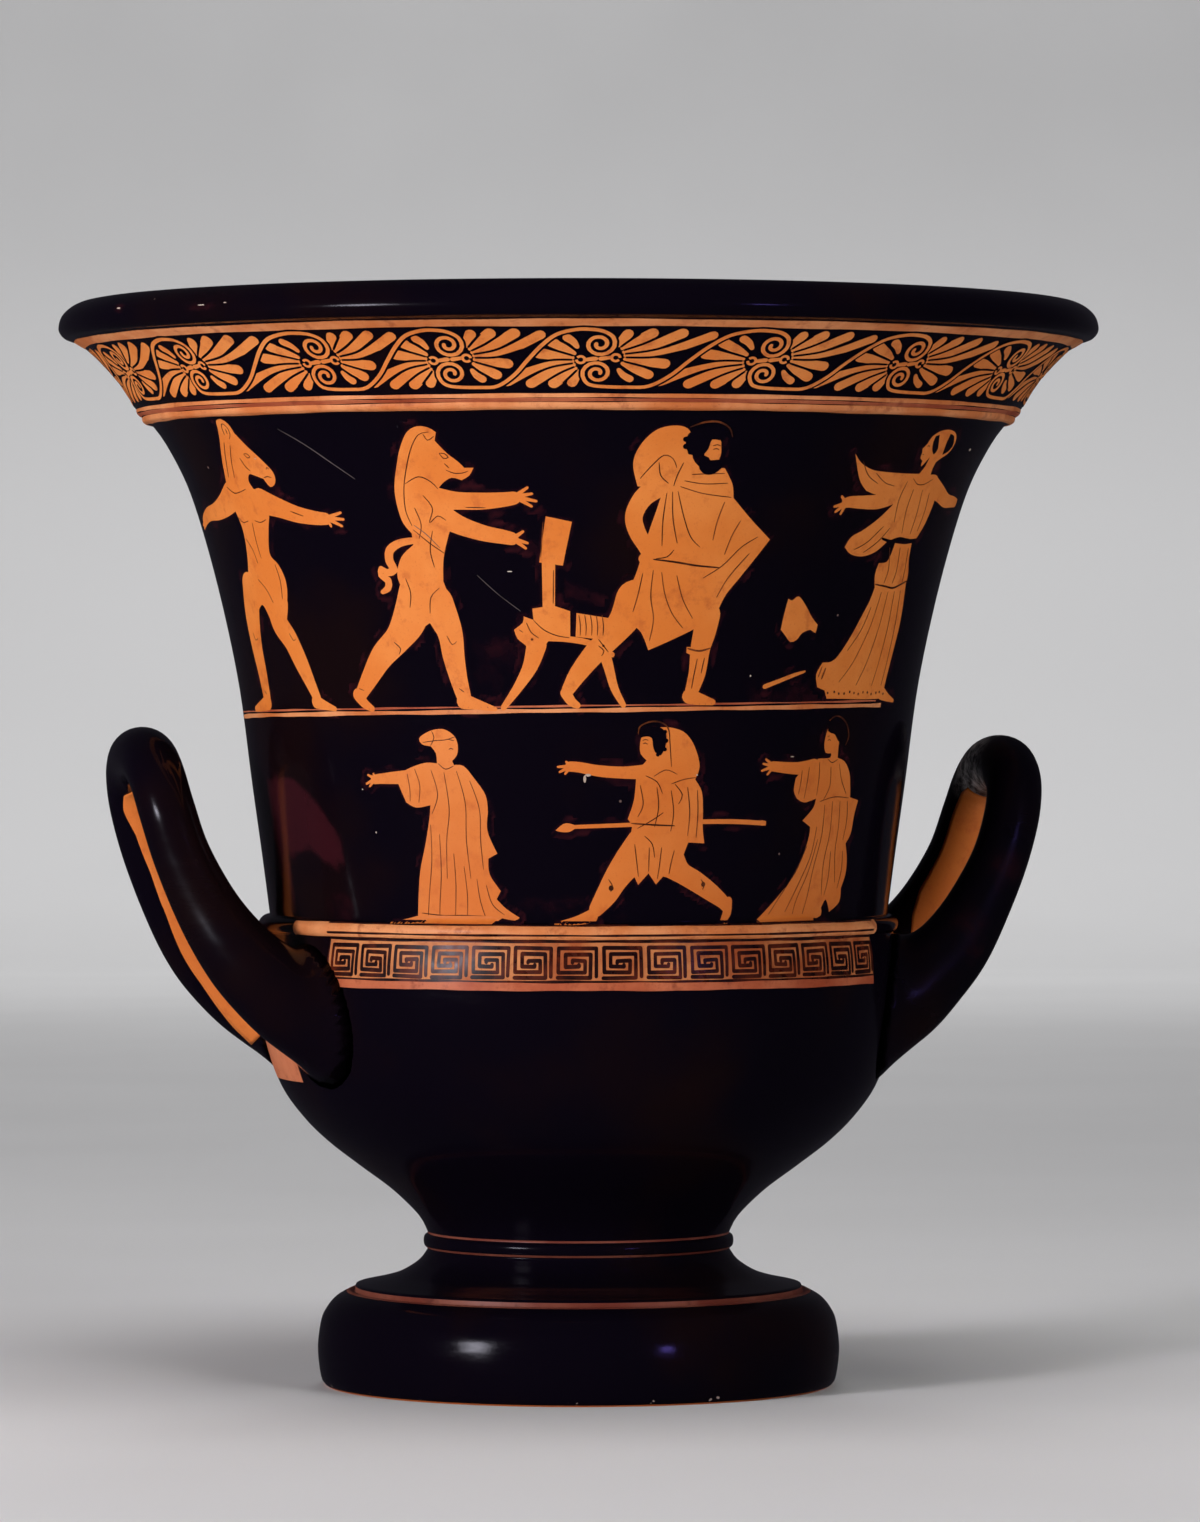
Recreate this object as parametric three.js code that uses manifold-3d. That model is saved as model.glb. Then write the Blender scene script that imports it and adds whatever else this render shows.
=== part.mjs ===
// A Greek calyx-krater: a bowl for mixing wine and water, with a flaring wall, a moulded lip, a swelling
// lower bowl (the cul), two upturned loop handles and a disc foot. It is wheel-thrown clay, joined with slip
// and fired as one solid. Millimetres, +Z up; the origin is the centre of the foot's resting plane, and the
// handles stand on the X axis.
import * as THREE from "three";
import { mergeVertices } from "three/addons/utils/BufferGeometryUtils.js";
import Module from "manifold-3d";

// ---- Driving dimensions -------------------------------------------------------------------------------
const HEIGHT = 354;          // foot to the crest of the lip
const MOUTH_RADIUS = 170.3;  // outermost point of the lip
const CREST_RADIUS = 160;    // where the lip is highest
const WALL_FOOT_Z = 154.5;   // the wall stands on the cul here
const WALL_FOOT_RADIUS = 101.3;
const CUL_RADIUS = 104.7;    // widest point of the cul
const CUL_WIDEST_Z = 132;
const STEM_RADIUS = 49.6;    // narrowest point, between cul and foot
const STEM_TOP_Z = 50.2;
const FOOT_RADIUS = 85.5;    // widest point of the foot's edge
const FOOT_HEIGHT = 31;      // height of the foot's rounded edge
const RESTING_RADII = [66, 82.6]; // inner and outer radius of the ring that it stands on
const RECESS_HEIGHT = 24;    // the hollow under the foot, on the axis
const BOWL_FLOOR_Z = 63.5;   // inside bottom of the bowl, on the axis
const WALL_THICKNESS = 7;
const HANDLE_TOP = { out: 144.4, z: 204, radius: 9.6 }; // the middle of the clay roll at the top of the arch

const LATHE_SEGMENTS = 48;
const HANDLE_SIDES = 12;
const HANDLE_STEPS = 30;

// ---- Profile helpers ----------------------------------------------------------------------------------
const p = (r, z) => new THREE.Vector2(r, z);

// Points along a smooth curve through a few (radius, height) points.
const smooth = (steps, ...through) =>
  new THREE.SplineCurve(through.map(([r, z]) => p(r, z))).getPoints(steps);

// ---- The outside, from the foot's resting ring up to the crest of the lip -----------------------------------
function footOutside() {
  const edge = smooth(
    7,
    [RESTING_RADII[1], 0],
    [RESTING_RADII[1] + 1.5, 1.6],
    [FOOT_RADIUS - 0.4, 6.5],
    [FOOT_RADIUS, 13],
    [FOOT_RADIUS - 1, 20.7],
    [FOOT_RADIUS - 2.6, 24.6],
    [FOOT_RADIUS - 5.7, 28.4],
    [FOOT_RADIUS - 10.2, FOOT_HEIGHT],
  );
  const groove = [p(73.8, 30.3)];
  const hollowTop = smooth(4, [73, 32.8], [65.5, 34.4], [58.6, 36.6], [52.4, 40.5], [STEM_RADIUS - 0.1, 44.3]);
  return [...edge, ...groove, ...hollowTop];
}

function stemRing() {
  const proud = STEM_RADIUS + 1.1;
  return [p(proud, 46), p(proud, 48.2), p(STEM_RADIUS - 0.2, 49.5)];
}

function cul() {
  return smooth(
    10,
    [STEM_RADIUS, STEM_TOP_Z],
    [52.2, 55.6],
    [60.4, 64],
    [70.6, 71.9],
    [81.1, 79.9],
    [88.8, 87.8],
    [96, 97.6],
    [101.2, 110],
    [104, 122],
    [CUL_RADIUS, CUL_WIDEST_Z],
    [104.4, 141],
    [103.3, 148.3],
  );
}

// The narrow moulding between the cul and the wall.
function moulding() {
  return [p(104.6, 150), p(104.4, 152.4)];
}

function wall() {
  return smooth(
    8,
    [WALL_FOOT_RADIUS, WALL_FOOT_Z],
    [103.9, 174.3],
    [107.2, 198],
    [111.1, 227.5],
    [116.3, 253.1],
    [122.4, 276.7],
    [128.3, 294.5],
    [135.2, 307.9],
    [139.8, 314.2],
  );
}

// The ridge under the ornament band, the band itself, and the lip.
function mouth() {
  const ridge = [p(143.4, 315.4), p(144.2, 318.6)];
  const band = smooth(4, [144.8, 319.4], [150.6, 328.1], [157.6, 335.9], [161.6, 339.4], [164.6, 341.5]);
  const lip = smooth(
    6,
    [168.6, 342.5],
    [MOUTH_RADIUS - 0.2, 344.4],
    [MOUTH_RADIUS, 346.4],
    [169.3, 349.4],
    [166.7, 352],
    [163.4, HEIGHT - 0.4],
    [CREST_RADIUS, HEIGHT],
  );
  return [...ridge, ...band, ...lip];
}

// ---- The inside of the bowl, from the crest down to the floor ------------------------------------------------
function inside() {
  const t = WALL_THICKNESS;
  const overLip = smooth(3, [CREST_RADIUS - 3.4, HEIGHT - 0.7], [153.4, 350.9], [151.2, 346.8], [147.6, 337]);
  const down = smooth(
    7,
    [136.6, 321],
    [127.4, 306.6],
    [119.6, 289],
    [114.6, 270.5],
    [122.4 - t - 5.6, 252],
    [111.1 - t - 0.3, 226],
    [107.2 - t, 198],
    [103.9 - t, 174.3],
    [WALL_FOOT_RADIUS - t - 0.2, 152],
  );
  const bowl = smooth(6, [94.2, 137], [91.6, 120], [84, 102.5], [69.5, 84.5], [48, 71], [24, 65], [6, BOWL_FLOOR_Z]);
  return [...overLip, ...down, ...bowl];
}

// ---- The hollow under the foot -----------------------------------------------------------------------------
function underFoot() {
  return smooth(4, [6, RECESS_HEIGHT], [28, RECESS_HEIGHT - 2], [48, 15.5], [60, 7], [RESTING_RADII[0], 0]);
}

// A lathe's own axis is Y, so it is turned to stand on Z.
function lathe(profile) {
  const turned = new THREE.LatheGeometry(profile, LATHE_SEGMENTS);
  return turned.rotateX(Math.PI / 2);
}

function vessel() {
  return lathe([
    p(0, RECESS_HEIGHT),
    ...underFoot(),
    ...footOutside(),
    ...stemRing(),
    ...cul(),
    ...moulding(),
    ...wall(),
    ...mouth(),
    ...inside(),
    p(0, BOWL_FLOOR_Z),
  ]);
}

// A plug that lies inside the wall's thickness. It trims the handles so that they end within the wall.
function plug() {
  const besideHandles = [...cul(), ...moulding(), ...wall()].filter((q) => q.y > 70 && q.y < 190);
  const within = besideHandles.map((q) => p(q.x - WALL_THICKNESS / 2 - 1, q.y));
  return lathe([p(0, within[0].y), ...within, p(0, within[within.length - 1].y)]);
}

// ---- Handles ------------------------------------------------------------------------------------------------
// One leg of a handle's clay roll, from inside the wall up to the arch: distance out from the axis, distance to
// the side, height, and the roll's radius there. It swells into the cul at its root.
const HANDLE_LEG = [
  [62, 34, 120, 21],
  [84, 39, 121, 21],
  [99, 40.6, 127, 17.6],
  [110.8, 40, 136.2, 14.4],
  [119.4, 37.6, 145, 12],
  [127.4, 34.4, 157, 10.4],
  [135.4, 32.6, 172.6, 9.3],
  [140.6, 30.6, 187, 9.1],
  [143.2, 25, 197, 9.1],
  [144.2, 13.6, 202.6, 9.4],
];

// The whole roll goes up one leg, over the arch and down the other.
function handleControls() {
  const across = ([out, side, z, radius]) => [out, -side, z, radius];
  const top = [HANDLE_TOP.out, 0, HANDLE_TOP.z, HANDLE_TOP.radius];
  return [...HANDLE_LEG.map(across), top, ...[...HANDLE_LEG].reverse()];
}

// A closed solid of rings along a curve, with a flat cap at each end.
function roll(controls) {
  const path = new THREE.CatmullRomCurve3(controls.map(([x, y, z]) => new THREE.Vector3(x, y, z)), false, "centripetal");
  const radii = new THREE.SplineCurve(controls.map(([, , , radius], i) => p(i, radius)));
  const frames = path.computeFrenetFrames(HANDLE_STEPS, false);
  const points = [];
  for (let i = 0; i <= HANDLE_STEPS; i++) {
    const share = i / HANDLE_STEPS;
    const centre = path.getPointAt(share);
    const radius = radii.getPoint(path.getUtoTmapping(share)).y;
    for (let k = 0; k < HANDLE_SIDES; k++) {
      const angle = (2 * Math.PI * k) / HANDLE_SIDES;
      const out = frames.normals[i].clone().multiplyScalar(Math.cos(angle));
      out.addScaledVector(frames.binormals[i], Math.sin(angle));
      points.push(centre.clone().addScaledVector(out, radius));
    }
  }
  const last = HANDLE_STEPS * HANDLE_SIDES;
  const faces = [];
  for (let i = 0; i < last; i += HANDLE_SIDES)
    for (let k = 0; k < HANDLE_SIDES; k++) {
      const next = (k + 1) % HANDLE_SIDES;
      faces.push(i + k, i + next, i + next + HANDLE_SIDES);
      faces.push(i + k, i + next + HANDLE_SIDES, i + k + HANDLE_SIDES);
    }
  for (let k = 1; k < HANDLE_SIDES - 1; k++) {
    faces.push(0, k + 1, k);
    faces.push(last, last + k, last + k + 1);
  }
  const solid = new THREE.BufferGeometry().setFromPoints(points);
  solid.setIndex(faces);
  return solid;
}

// ---- Joining ------------------------------------------------------------------------------------------------
const wasm = await Module();
wasm.setup();

function toSolid(geometry) {
  const bare = geometry.clone();
  bare.deleteAttribute("normal");
  bare.deleteAttribute("uv");
  const merged = mergeVertices(bare, 1e-3);
  const vertProperties = new Float32Array(merged.attributes.position.array);
  const triVerts = new Uint32Array(merged.index.array);
  return new wasm.Manifold(new wasm.Mesh({ numProp: 3, vertProperties, triVerts }));
}

function toGeometry(solid) {
  const { vertProperties, triVerts } = solid.getMesh();
  const made = new THREE.BufferGeometry();
  made.setAttribute("position", new THREE.BufferAttribute(vertProperties, 3));
  made.setIndex(new THREE.BufferAttribute(triVerts, 1));
  made.computeVertexNormals();
  return made;
}

const handle = roll(handleControls());
const trimmed = (turn) => toSolid(handle.clone().rotateZ(turn)).subtract(toSolid(plug()));
const krater = new THREE.Mesh(
  toGeometry(toSolid(vessel()).add(trimmed(0)).add(trimmed(Math.PI))),
  new THREE.MeshStandardMaterial({ color: 0x0d0a10, roughness: 0.25, metalness: 0 }),
);
krater.name = "krater";

const object = new THREE.Group();
object.add(krater);
export default object;
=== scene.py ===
"""The looks of a Greek red-figure calyx-krater: one fired-clay vessel with two upturned loop handles, covered
in black gloss, with its figures, ornament and bands left in the colour of the clay. The form is the CAD node's,
finer, but the bowl's lower part is up to 1.5 mm wider and the two handles differ, which the CAD's do not. Sizes
are in millimetres and are turned into metres where a mesh is made. Heights are above the foot's resting plane;
angles go round the vessel from the middle of its front (-Y) towards +X."""

import math
import random

import bpy
import numpy as np
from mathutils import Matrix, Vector
from mathutils.geometry import delaunay_2d_cdt
from mathutils.kdtree import KDTree

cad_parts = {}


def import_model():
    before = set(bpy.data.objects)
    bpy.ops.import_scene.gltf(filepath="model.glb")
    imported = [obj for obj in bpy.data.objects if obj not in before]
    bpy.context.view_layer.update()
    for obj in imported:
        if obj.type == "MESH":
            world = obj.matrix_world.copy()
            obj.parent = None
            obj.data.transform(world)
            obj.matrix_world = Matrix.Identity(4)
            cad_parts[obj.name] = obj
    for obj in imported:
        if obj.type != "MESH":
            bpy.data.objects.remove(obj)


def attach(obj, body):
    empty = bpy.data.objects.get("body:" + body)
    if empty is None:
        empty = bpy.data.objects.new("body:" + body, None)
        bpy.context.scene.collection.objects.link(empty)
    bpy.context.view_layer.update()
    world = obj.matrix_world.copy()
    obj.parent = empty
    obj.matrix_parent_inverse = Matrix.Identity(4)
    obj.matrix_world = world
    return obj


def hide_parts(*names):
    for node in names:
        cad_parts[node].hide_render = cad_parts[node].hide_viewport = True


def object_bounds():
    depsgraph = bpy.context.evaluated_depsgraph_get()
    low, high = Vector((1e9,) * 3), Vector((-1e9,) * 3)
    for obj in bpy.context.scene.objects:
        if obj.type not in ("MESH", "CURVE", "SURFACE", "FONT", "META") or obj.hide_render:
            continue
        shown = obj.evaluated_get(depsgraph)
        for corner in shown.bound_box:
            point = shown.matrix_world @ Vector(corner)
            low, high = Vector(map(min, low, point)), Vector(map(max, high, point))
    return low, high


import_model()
cad_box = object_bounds()
HEIGHT = cad_box[1][2]  # metres, as are the other sizes that come from the frame
MM = 0.001
dice = random.Random(440)

# ---- The vessel's form ---------------------------------------------------------------------------------------
MOUTH_RADIUS = 170.3
LIP_CREST = (160, 354)
WALL_FOOT = (101.3, 154.5)
CUL_RADIUS = 104.7
STEM_RADIUS = 49.6
FOOT_RADIUS = 85.5
RESTING_RING = (66, 82.6)
RECESS_HEIGHT = 24
BOWL_FLOOR = 63.5
WALL_THICKNESS = 7
GIRTH_SEGMENTS = 208
ROW_STEP = 2.9  # the longest step between two rows of the vessel's mesh


def curve_through(points, step):
    """A smooth open curve through points of any dimension, with steps of about that length."""
    fixed = np.array(points, float)
    ends = np.vstack([fixed[:1], fixed, fixed[-1:]])
    out = []
    for i in range(len(fixed) - 1):
        a, b, c, d = ends[i : i + 4]
        count = max(2, math.ceil(np.linalg.norm((c - b)[:3]) / step))
        t = (np.arange(count) / count)[:, None]
        pull_b, pull_c = (c - a) / 2, (d - b) / 2
        out.append(
            b
            + pull_b * t
            + (-3 * b + 3 * c - 2 * pull_b - pull_c) * t**2
            + (2 * b - 2 * c + pull_b + pull_c) * t**3
        )
    return np.vstack(out + [fixed[-1:]])


def foot_outside():
    """The foot's rounded edge, the groove on it, and its hollow top, up to the stem."""
    edge = curve_through([
        (RESTING_RING[1], 0), (RESTING_RING[1] + 1.5, 1.6), (FOOT_RADIUS - 0.4, 6.5), (FOOT_RADIUS, 13),
        (FOOT_RADIUS - 1, 20.7), (FOOT_RADIUS - 2.6, 24.6), (FOOT_RADIUS - 5.7, 28.4), (FOOT_RADIUS - 10.2, 31),
    ], 1.4)
    groove = [(74.6, 30.9), (74.1, 30.4), (73.7, 30.3), (73.4, 30.7), (73.2, 32.2)]
    hollow_top = [(73, 32.8), (65.5, 34.4), (58.6, 36.6), (52.4, 40.5), (STEM_RADIUS - 0.1, 44.3)]
    return [*edge, *groove, *curve_through(hollow_top, 1.8)]


def stem_ring():
    """The flat ring round the stem."""
    proud = STEM_RADIUS + 1.2
    return curve_through([
        (STEM_RADIUS + 0.1, 44.8), (proud - 0.3, 45.5), (proud, 46.6), (proud, 47.8), (proud - 0.4, 48.9),
        (STEM_RADIUS - 0.2, 49.5),
    ], 0.7)


def cul():
    """The outside of the bowl's lower part, from the stem to the moulding."""
    return curve_through([
        (STEM_RADIUS, 50.2), (52.6, 55.6), (61.2, 64), (71.8, 71.9), (82.2, 79.9), (90.2, 87.8), (97.2, 97.6),
        (101.8, 110), (104.2, 122), (CUL_RADIUS, 132), (104.4, 141), (103.3, 148.3),
    ], ROW_STEP)


def moulding():
    """The narrow roll between the cul and the wall."""
    return curve_through([
        (103.4, 148.7), (104.3, 149.3), (104.8, 150.4), (104.8, 151.8), (104.2, 152.9), (102.9, 153.9),
        (101.5, 154.2),
    ], 0.7)


def wall():
    """The flaring wall, up to the ridge."""
    return curve_through([
        WALL_FOOT,
        (103.9, 174.3), (107.2, 198), (111.1, 227.5), (116.3, 253.1), (122.4, 276.7), (128.3, 294.5),
        (135.2, 307.9), (139.8, 314.2),
    ], ROW_STEP)


def ridge():
    """The two narrow mouldings under the ornament band, with a groove between them."""
    return curve_through([
        (140.6, 314.4), (142, 314.7), (142.8, 315.4), (143, 316.2), (143, 316.7), (143.6, 317.1),
        (144.4, 317.7), (144.8, 318.5), (144.8, 319.2),
    ], 0.5)


def mouth():
    """The ornament's flaring band and the lip, up to its crest."""
    band = curve_through([(145.2, 319.6), (150.6, 328.1), (157.6, 335.9), (161.4, 339.2)], 1.7)
    under_lip = curve_through([(162, 339.5), (164, 340.6), (165.6, 341.6)], 0.8)
    lip = curve_through([
        (166.2, 341.9), (168.6, 342.6), (MOUTH_RADIUS - 0.2, 344.4), (MOUTH_RADIUS, 346.4), (169.3, 349.4),
        (166.7, 352), (163.4, LIP_CREST[1] - 0.4), LIP_CREST,
    ], 1.2)
    return [*band, *under_lip, *lip]


def inside():
    """The inside, from the lip's crest down to the middle of the bowl's floor."""
    t = WALL_THICKNESS
    over_lip = curve_through([(156.6, 353.3), (153.4, 350.9), (151.2, 346.8), (147.6, 337)], 1.6)
    down = curve_through([
        (136.6, 321), (127.4, 306.6), (119.6, 289), (114.6, 270.5), (110.4, 252), (111.1 - t - 0.3, 226),
        (107.2 - t, 198), (103.9 - t, 174.3), (WALL_FOOT[0] - t - 0.2, 152),
    ], 4.5)
    bowl = curve_through([
        (94.2, 137), (92, 120), (85, 102.5), (71, 84.5), (49, 71), (24, 65), (6, BOWL_FLOOR),
    ], 4.5)
    return [*over_lip, *down, *bowl]


def under_foot():
    """The hollow under the foot, from its middle out to the resting ring."""
    inner_edge = RESTING_RING[0]
    return curve_through([(6, RECESS_HEIGHT), (28, RECESS_HEIGHT - 2), (48, 15.5), (60, 7), (inner_edge, 0)], 4)


OUTSIDE = np.array([*cul(), *moulding(), *wall(), *ridge(), *mouth()])
FOOT = [(0, RECESS_HEIGHT), *under_foot(), *foot_outside(), *stem_ring()]
PROFILE = np.array([*FOOT, *OUTSIDE, *inside(), (0, BOWL_FLOOR)])


def profile_normals(profile):
    """The outward normal at each point of a profile that runs with the solid on its left."""
    along = np.gradient(profile, axis=0)
    across = np.stack([along[:, 1], -along[:, 0]], 1)
    return across / np.linalg.norm(across, axis=1, keepdims=True)


OUTSIDE_NORMALS = profile_normals(OUTSIDE)
BELOW, ABOVE = np.searchsorted(OUTSIDE[:, 1], (WALL_FOOT[1] - 14, WALL_FOOT[1] + 8))
SMOOTH_OUTSIDE = np.delete(OUTSIDE, slice(BELOW, ABOVE), 0)  # the outside as it would be without the moulding
SMOOTH_NORMALS = profile_normals(SMOOTH_OUTSIDE)


def outside_at(z, line=OUTSIDE, normals=OUTSIDE_NORMALS):
    """Radius and outward normal (radial, up) of the outside at these heights, above the stem."""
    z = np.asarray(z, float)
    heights = line[:, 1]
    radius = np.interp(z, heights, line[:, 0])
    radial = np.interp(z, heights, normals[:, 0])
    up = np.interp(z, heights, normals[:, 1])
    size = np.hypot(radial, up)
    return radius, radial / size, up / size


def depth_to_outside(points, line=OUTSIDE, normals=OUTSIDE_NORMALS):
    """How far points are from the vessel's outside (positive is out of it), and the outside's normals there."""
    radial = np.hypot(points[:, 0], points[:, 1])
    radius, normal_out, normal_up = outside_at(points[:, 2], line, normals)
    away = (radial - radius) * normal_out
    normals = np.stack([points[:, 0] / radial * normal_out, points[:, 1] / radial * normal_out, normal_up], 1)
    return away, normals


# ---- Mesh helpers --------------------------------------------------------------------------------------------
def new_object(name, vertices, faces, materials, normals=None):
    """A piece from points in millimetres, smooth, with its own normals if they are given."""
    mesh = bpy.data.meshes.new(name)
    mesh.from_pydata((np.asarray(vertices) * MM).tolist(), [], faces)
    for material in materials:
        mesh.materials.append(material)
    mesh.polygons.foreach_set("use_smooth", [True] * len(mesh.polygons))
    mesh.update()
    if normals is not None:
        mesh.normals_split_custom_set_from_vertices(np.asarray(normals).tolist())
    made = bpy.data.objects.new(name, mesh)
    bpy.context.scene.collection.objects.link(made)
    return made


def finish_piece(made):
    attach(made, "root")
    return made


# ---- Material helpers ----------------------------------------------------------------------------------------
class Nodes:
    """A short way to write a node material whose patterns sit in the object's own space, in metres."""

    def __init__(self, name):
        self.material = bpy.data.materials.new(name)
        self.material.use_nodes = True
        self.tree = self.material.node_tree
        self.shader = self.tree.nodes["Principled BSDF"]
        self.place = self.tree.nodes.new("ShaderNodeTexCoord").outputs["Object"]

    def link(self, source, target):
        self.tree.links.new(source, target)

    def stretched(self, x, y, z):
        node = self.tree.nodes.new("ShaderNodeMapping")
        node.inputs["Scale"].default_value = (x, y, z)
        self.link(self.place, node.inputs["Vector"])
        return node.outputs["Vector"]

    def noise(self, scale, detail=3.0, roughness=0.5, place=None):
        node = self.tree.nodes.new("ShaderNodeTexNoise")
        node.inputs["Scale"].default_value = scale
        node.inputs["Detail"].default_value = detail
        node.inputs["Roughness"].default_value = roughness
        self.link(place or self.place, node.inputs["Vector"])
        return node.outputs["Fac"]

    def spots(self, scale):
        node = self.tree.nodes.new("ShaderNodeTexVoronoi")
        node.inputs["Scale"].default_value = scale
        self.link(self.place, node.inputs["Vector"])
        return node

    def height(self):
        node = self.tree.nodes.new("ShaderNodeSeparateXYZ")
        self.link(self.place, node.inputs["Vector"])
        return node.outputs["Z"]

    def remap(self, value, low, high, to_low=0.0, to_high=1.0):
        node = self.tree.nodes.new("ShaderNodeMapRange")
        node.interpolation_type = "SMOOTHSTEP"
        node.inputs["From Min"].default_value = low
        node.inputs["From Max"].default_value = high
        node.inputs["To Min"].default_value = to_low
        node.inputs["To Max"].default_value = to_high
        self.link(value, node.inputs["Value"])
        return node.outputs["Result"]

    def maths(self, operation, a, b):
        node = self.tree.nodes.new("ShaderNodeMath")
        node.operation = operation
        for socket, value in zip(node.inputs, (a, b)):
            if isinstance(value, (int, float)):
                socket.default_value = value
            else:
                self.link(value, socket)
        return node.outputs["Value"]

    def attribute(self, name):
        node = self.tree.nodes.new("ShaderNodeAttribute")
        node.attribute_name = name
        return node.outputs["Fac"]

    def mix(self, share, a, b):
        node = self.tree.nodes.new("ShaderNodeMix")
        node.data_type = "RGBA"
        self.link(share, node.inputs["Factor"])
        for socket, value in zip((node.inputs["A"], node.inputs["B"]), (a, b)):
            if isinstance(value, tuple):
                socket.default_value = (*value, 1)
            else:
                self.link(value, socket)
        return node.outputs["Result"]

    def bump(self, height, distance, strength):
        node = self.tree.nodes.new("ShaderNodeBump")
        node.inputs["Distance"].default_value = distance
        node.inputs["Strength"].default_value = strength
        self.link(height, node.inputs["Height"])
        self.link(node.outputs["Normal"], self.shader.inputs["Normal"])

    def colour(self, value):
        self.link(value, self.shader.inputs["Base Color"])

    def roughness(self, value):
        self.link(value, self.shader.inputs["Roughness"])


BLACK = (0.0026, 0.0015, 0.0042)
BROWN_BLACK = (0.0062, 0.0024, 0.0030)
MISFIRED = (0.029, 0.0050, 0.0080)
SPECK = (0.30, 0.20, 0.17)
CHIPPED_EDGE = (0.36, 0.28, 0.24)
DUST_AND_SHEEN_TONE = (0.66, 0.64, 0.65)
GLOSS_IOR = 1.26       # low, so that the gloss stays nearly black between its highlights
CLAY_IOR = 1.3


def black_gloss():
    """Black slip: nearly black, browner in broad patches, reddish where it misfired, with pale specks, a worn
    edge at the foot, dust with a painted grey sheen on it, and duller places."""
    n = Nodes("black_gloss")
    n.shader.inputs["IOR"].default_value = GLOSS_IOR
    broad = n.remap(n.noise(16, 4), 0.45, 0.70)
    colour = n.mix(broad, BLACK, BROWN_BLACK)
    ragged = n.maths("MULTIPLY", n.maths("SUBTRACT", n.noise(110, 5, 0.65), 0.5), 1.1)
    misfired = n.remap(n.maths("ADD", n.attribute("misfired"), ragged), 0.22, 1.05)
    misfired = n.maths("MULTIPLY", misfired, n.remap(n.attribute("misfired"), 0.0, 0.12))
    colour = n.mix(misfired, colour, MISFIRED)
    specks = n.spots(330)
    rare = n.remap(specks.outputs["Color"], 0.955, 0.965)
    small = n.remap(specks.outputs["Distance"], 0.10, 0.17, 1.0, 0.0)
    speck = n.maths("MULTIPLY", rare, small)
    colour = n.mix(n.maths("MULTIPLY", speck, 0.55), colour, SPECK)
    height = n.height()
    edge = n.maths("MULTIPLY", n.remap(height, 0.0008, 0.0012), n.remap(height, 0.0022, 0.0032, 1, 0))
    chipped = n.maths("MULTIPLY", edge, n.remap(n.noise(300, 2), 0.69, 0.72))
    colour = n.mix(chipped, colour, CHIPPED_EDGE)
    # Dust and a painted grey sheen: pale grey in these places, mostly on the handles' arches.
    dust_and_sheen = n.maths("MULTIPLY", n.attribute("dust_and_sheen"), n.remap(n.noise(260, 4, 0.7), 0.35, 0.7))
    colour = n.mix(dust_and_sheen, colour, DUST_AND_SHEEN_TONE)
    n.colour(colour)
    streaks = n.remap(n.noise(60, 4, 0.6, n.stretched(1, 1, 6)), 0.3, 0.75, 0.10, 0.16)
    n.roughness(n.maths("ADD", streaks, n.maths("MULTIPLY", n.attribute("dull"), 0.3)))
    n.bump(n.noise(420, 3), 0.00005, 0.4)
    return n.material


def fired_clay(name, tone, pale, deep, roughness, painted_shade_low=0.0):
    """Bare fired clay: mottled, with darker grains. painted_shade_low is how much darker it is painted low on the
    wall, as painted shade.
    """
    n = Nodes(name)
    n.shader.inputs["IOR"].default_value = CLAY_IOR
    broad = n.remap(n.noise(38, 4, 0.6), 0.36, 0.66)
    colour = n.mix(broad, tone, pale)
    clouds = n.remap(n.noise(150, 5, 0.65), 0.52, 0.74, 0.0, 0.75)
    colour = n.mix(clouds, colour, deep)
    grain = n.remap(n.noise(1500, 2), 0.60, 0.75, 0.0, 0.35)
    colour = n.mix(grain, colour, deep)
    # Painted shade: darker lower down, as though less light reached the lower frieze.
    if painted_shade_low:
        colour = n.mix(n.remap(n.height(), 0.18, 0.235, painted_shade_low, 0.0), colour, deep)
    n.colour(colour)
    n.roughness(n.remap(n.noise(90, 3), 0.3, 0.7, roughness - 0.06, roughness + 0.08))
    n.bump(n.noise(900, 3), 0.00006, 0.6)
    return n.material


def painted_line(name, black, brown):
    """The thin lines drawn on the clay: black where thick, brown where the slip is thin."""
    n = Nodes(name)
    n.shader.inputs["IOR"].default_value = CLAY_IOR
    n.colour(n.mix(n.remap(n.noise(110, 4, 0.6), 0.42, 0.66), black, brown))
    n.roughness(n.remap(n.noise(200, 2), 0.3, 0.7, 0.26, 0.4))
    return n.material


gloss = black_gloss()
# The figures' clay carries painted shade low on the wall (the last number).
clay = fired_clay("figure_clay", (0.68, 0.184, 0.027), (0.74, 0.228, 0.042), (0.50, 0.110, 0.019), 0.5, 0.4)
dark_line = painted_line("painted_line", (0.040, 0.010, 0.004), (0.20, 0.050, 0.011))
meander_line = painted_line("meander_line", (0.012, 0.003, 0.003), (0.075, 0.012, 0.005))
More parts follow.
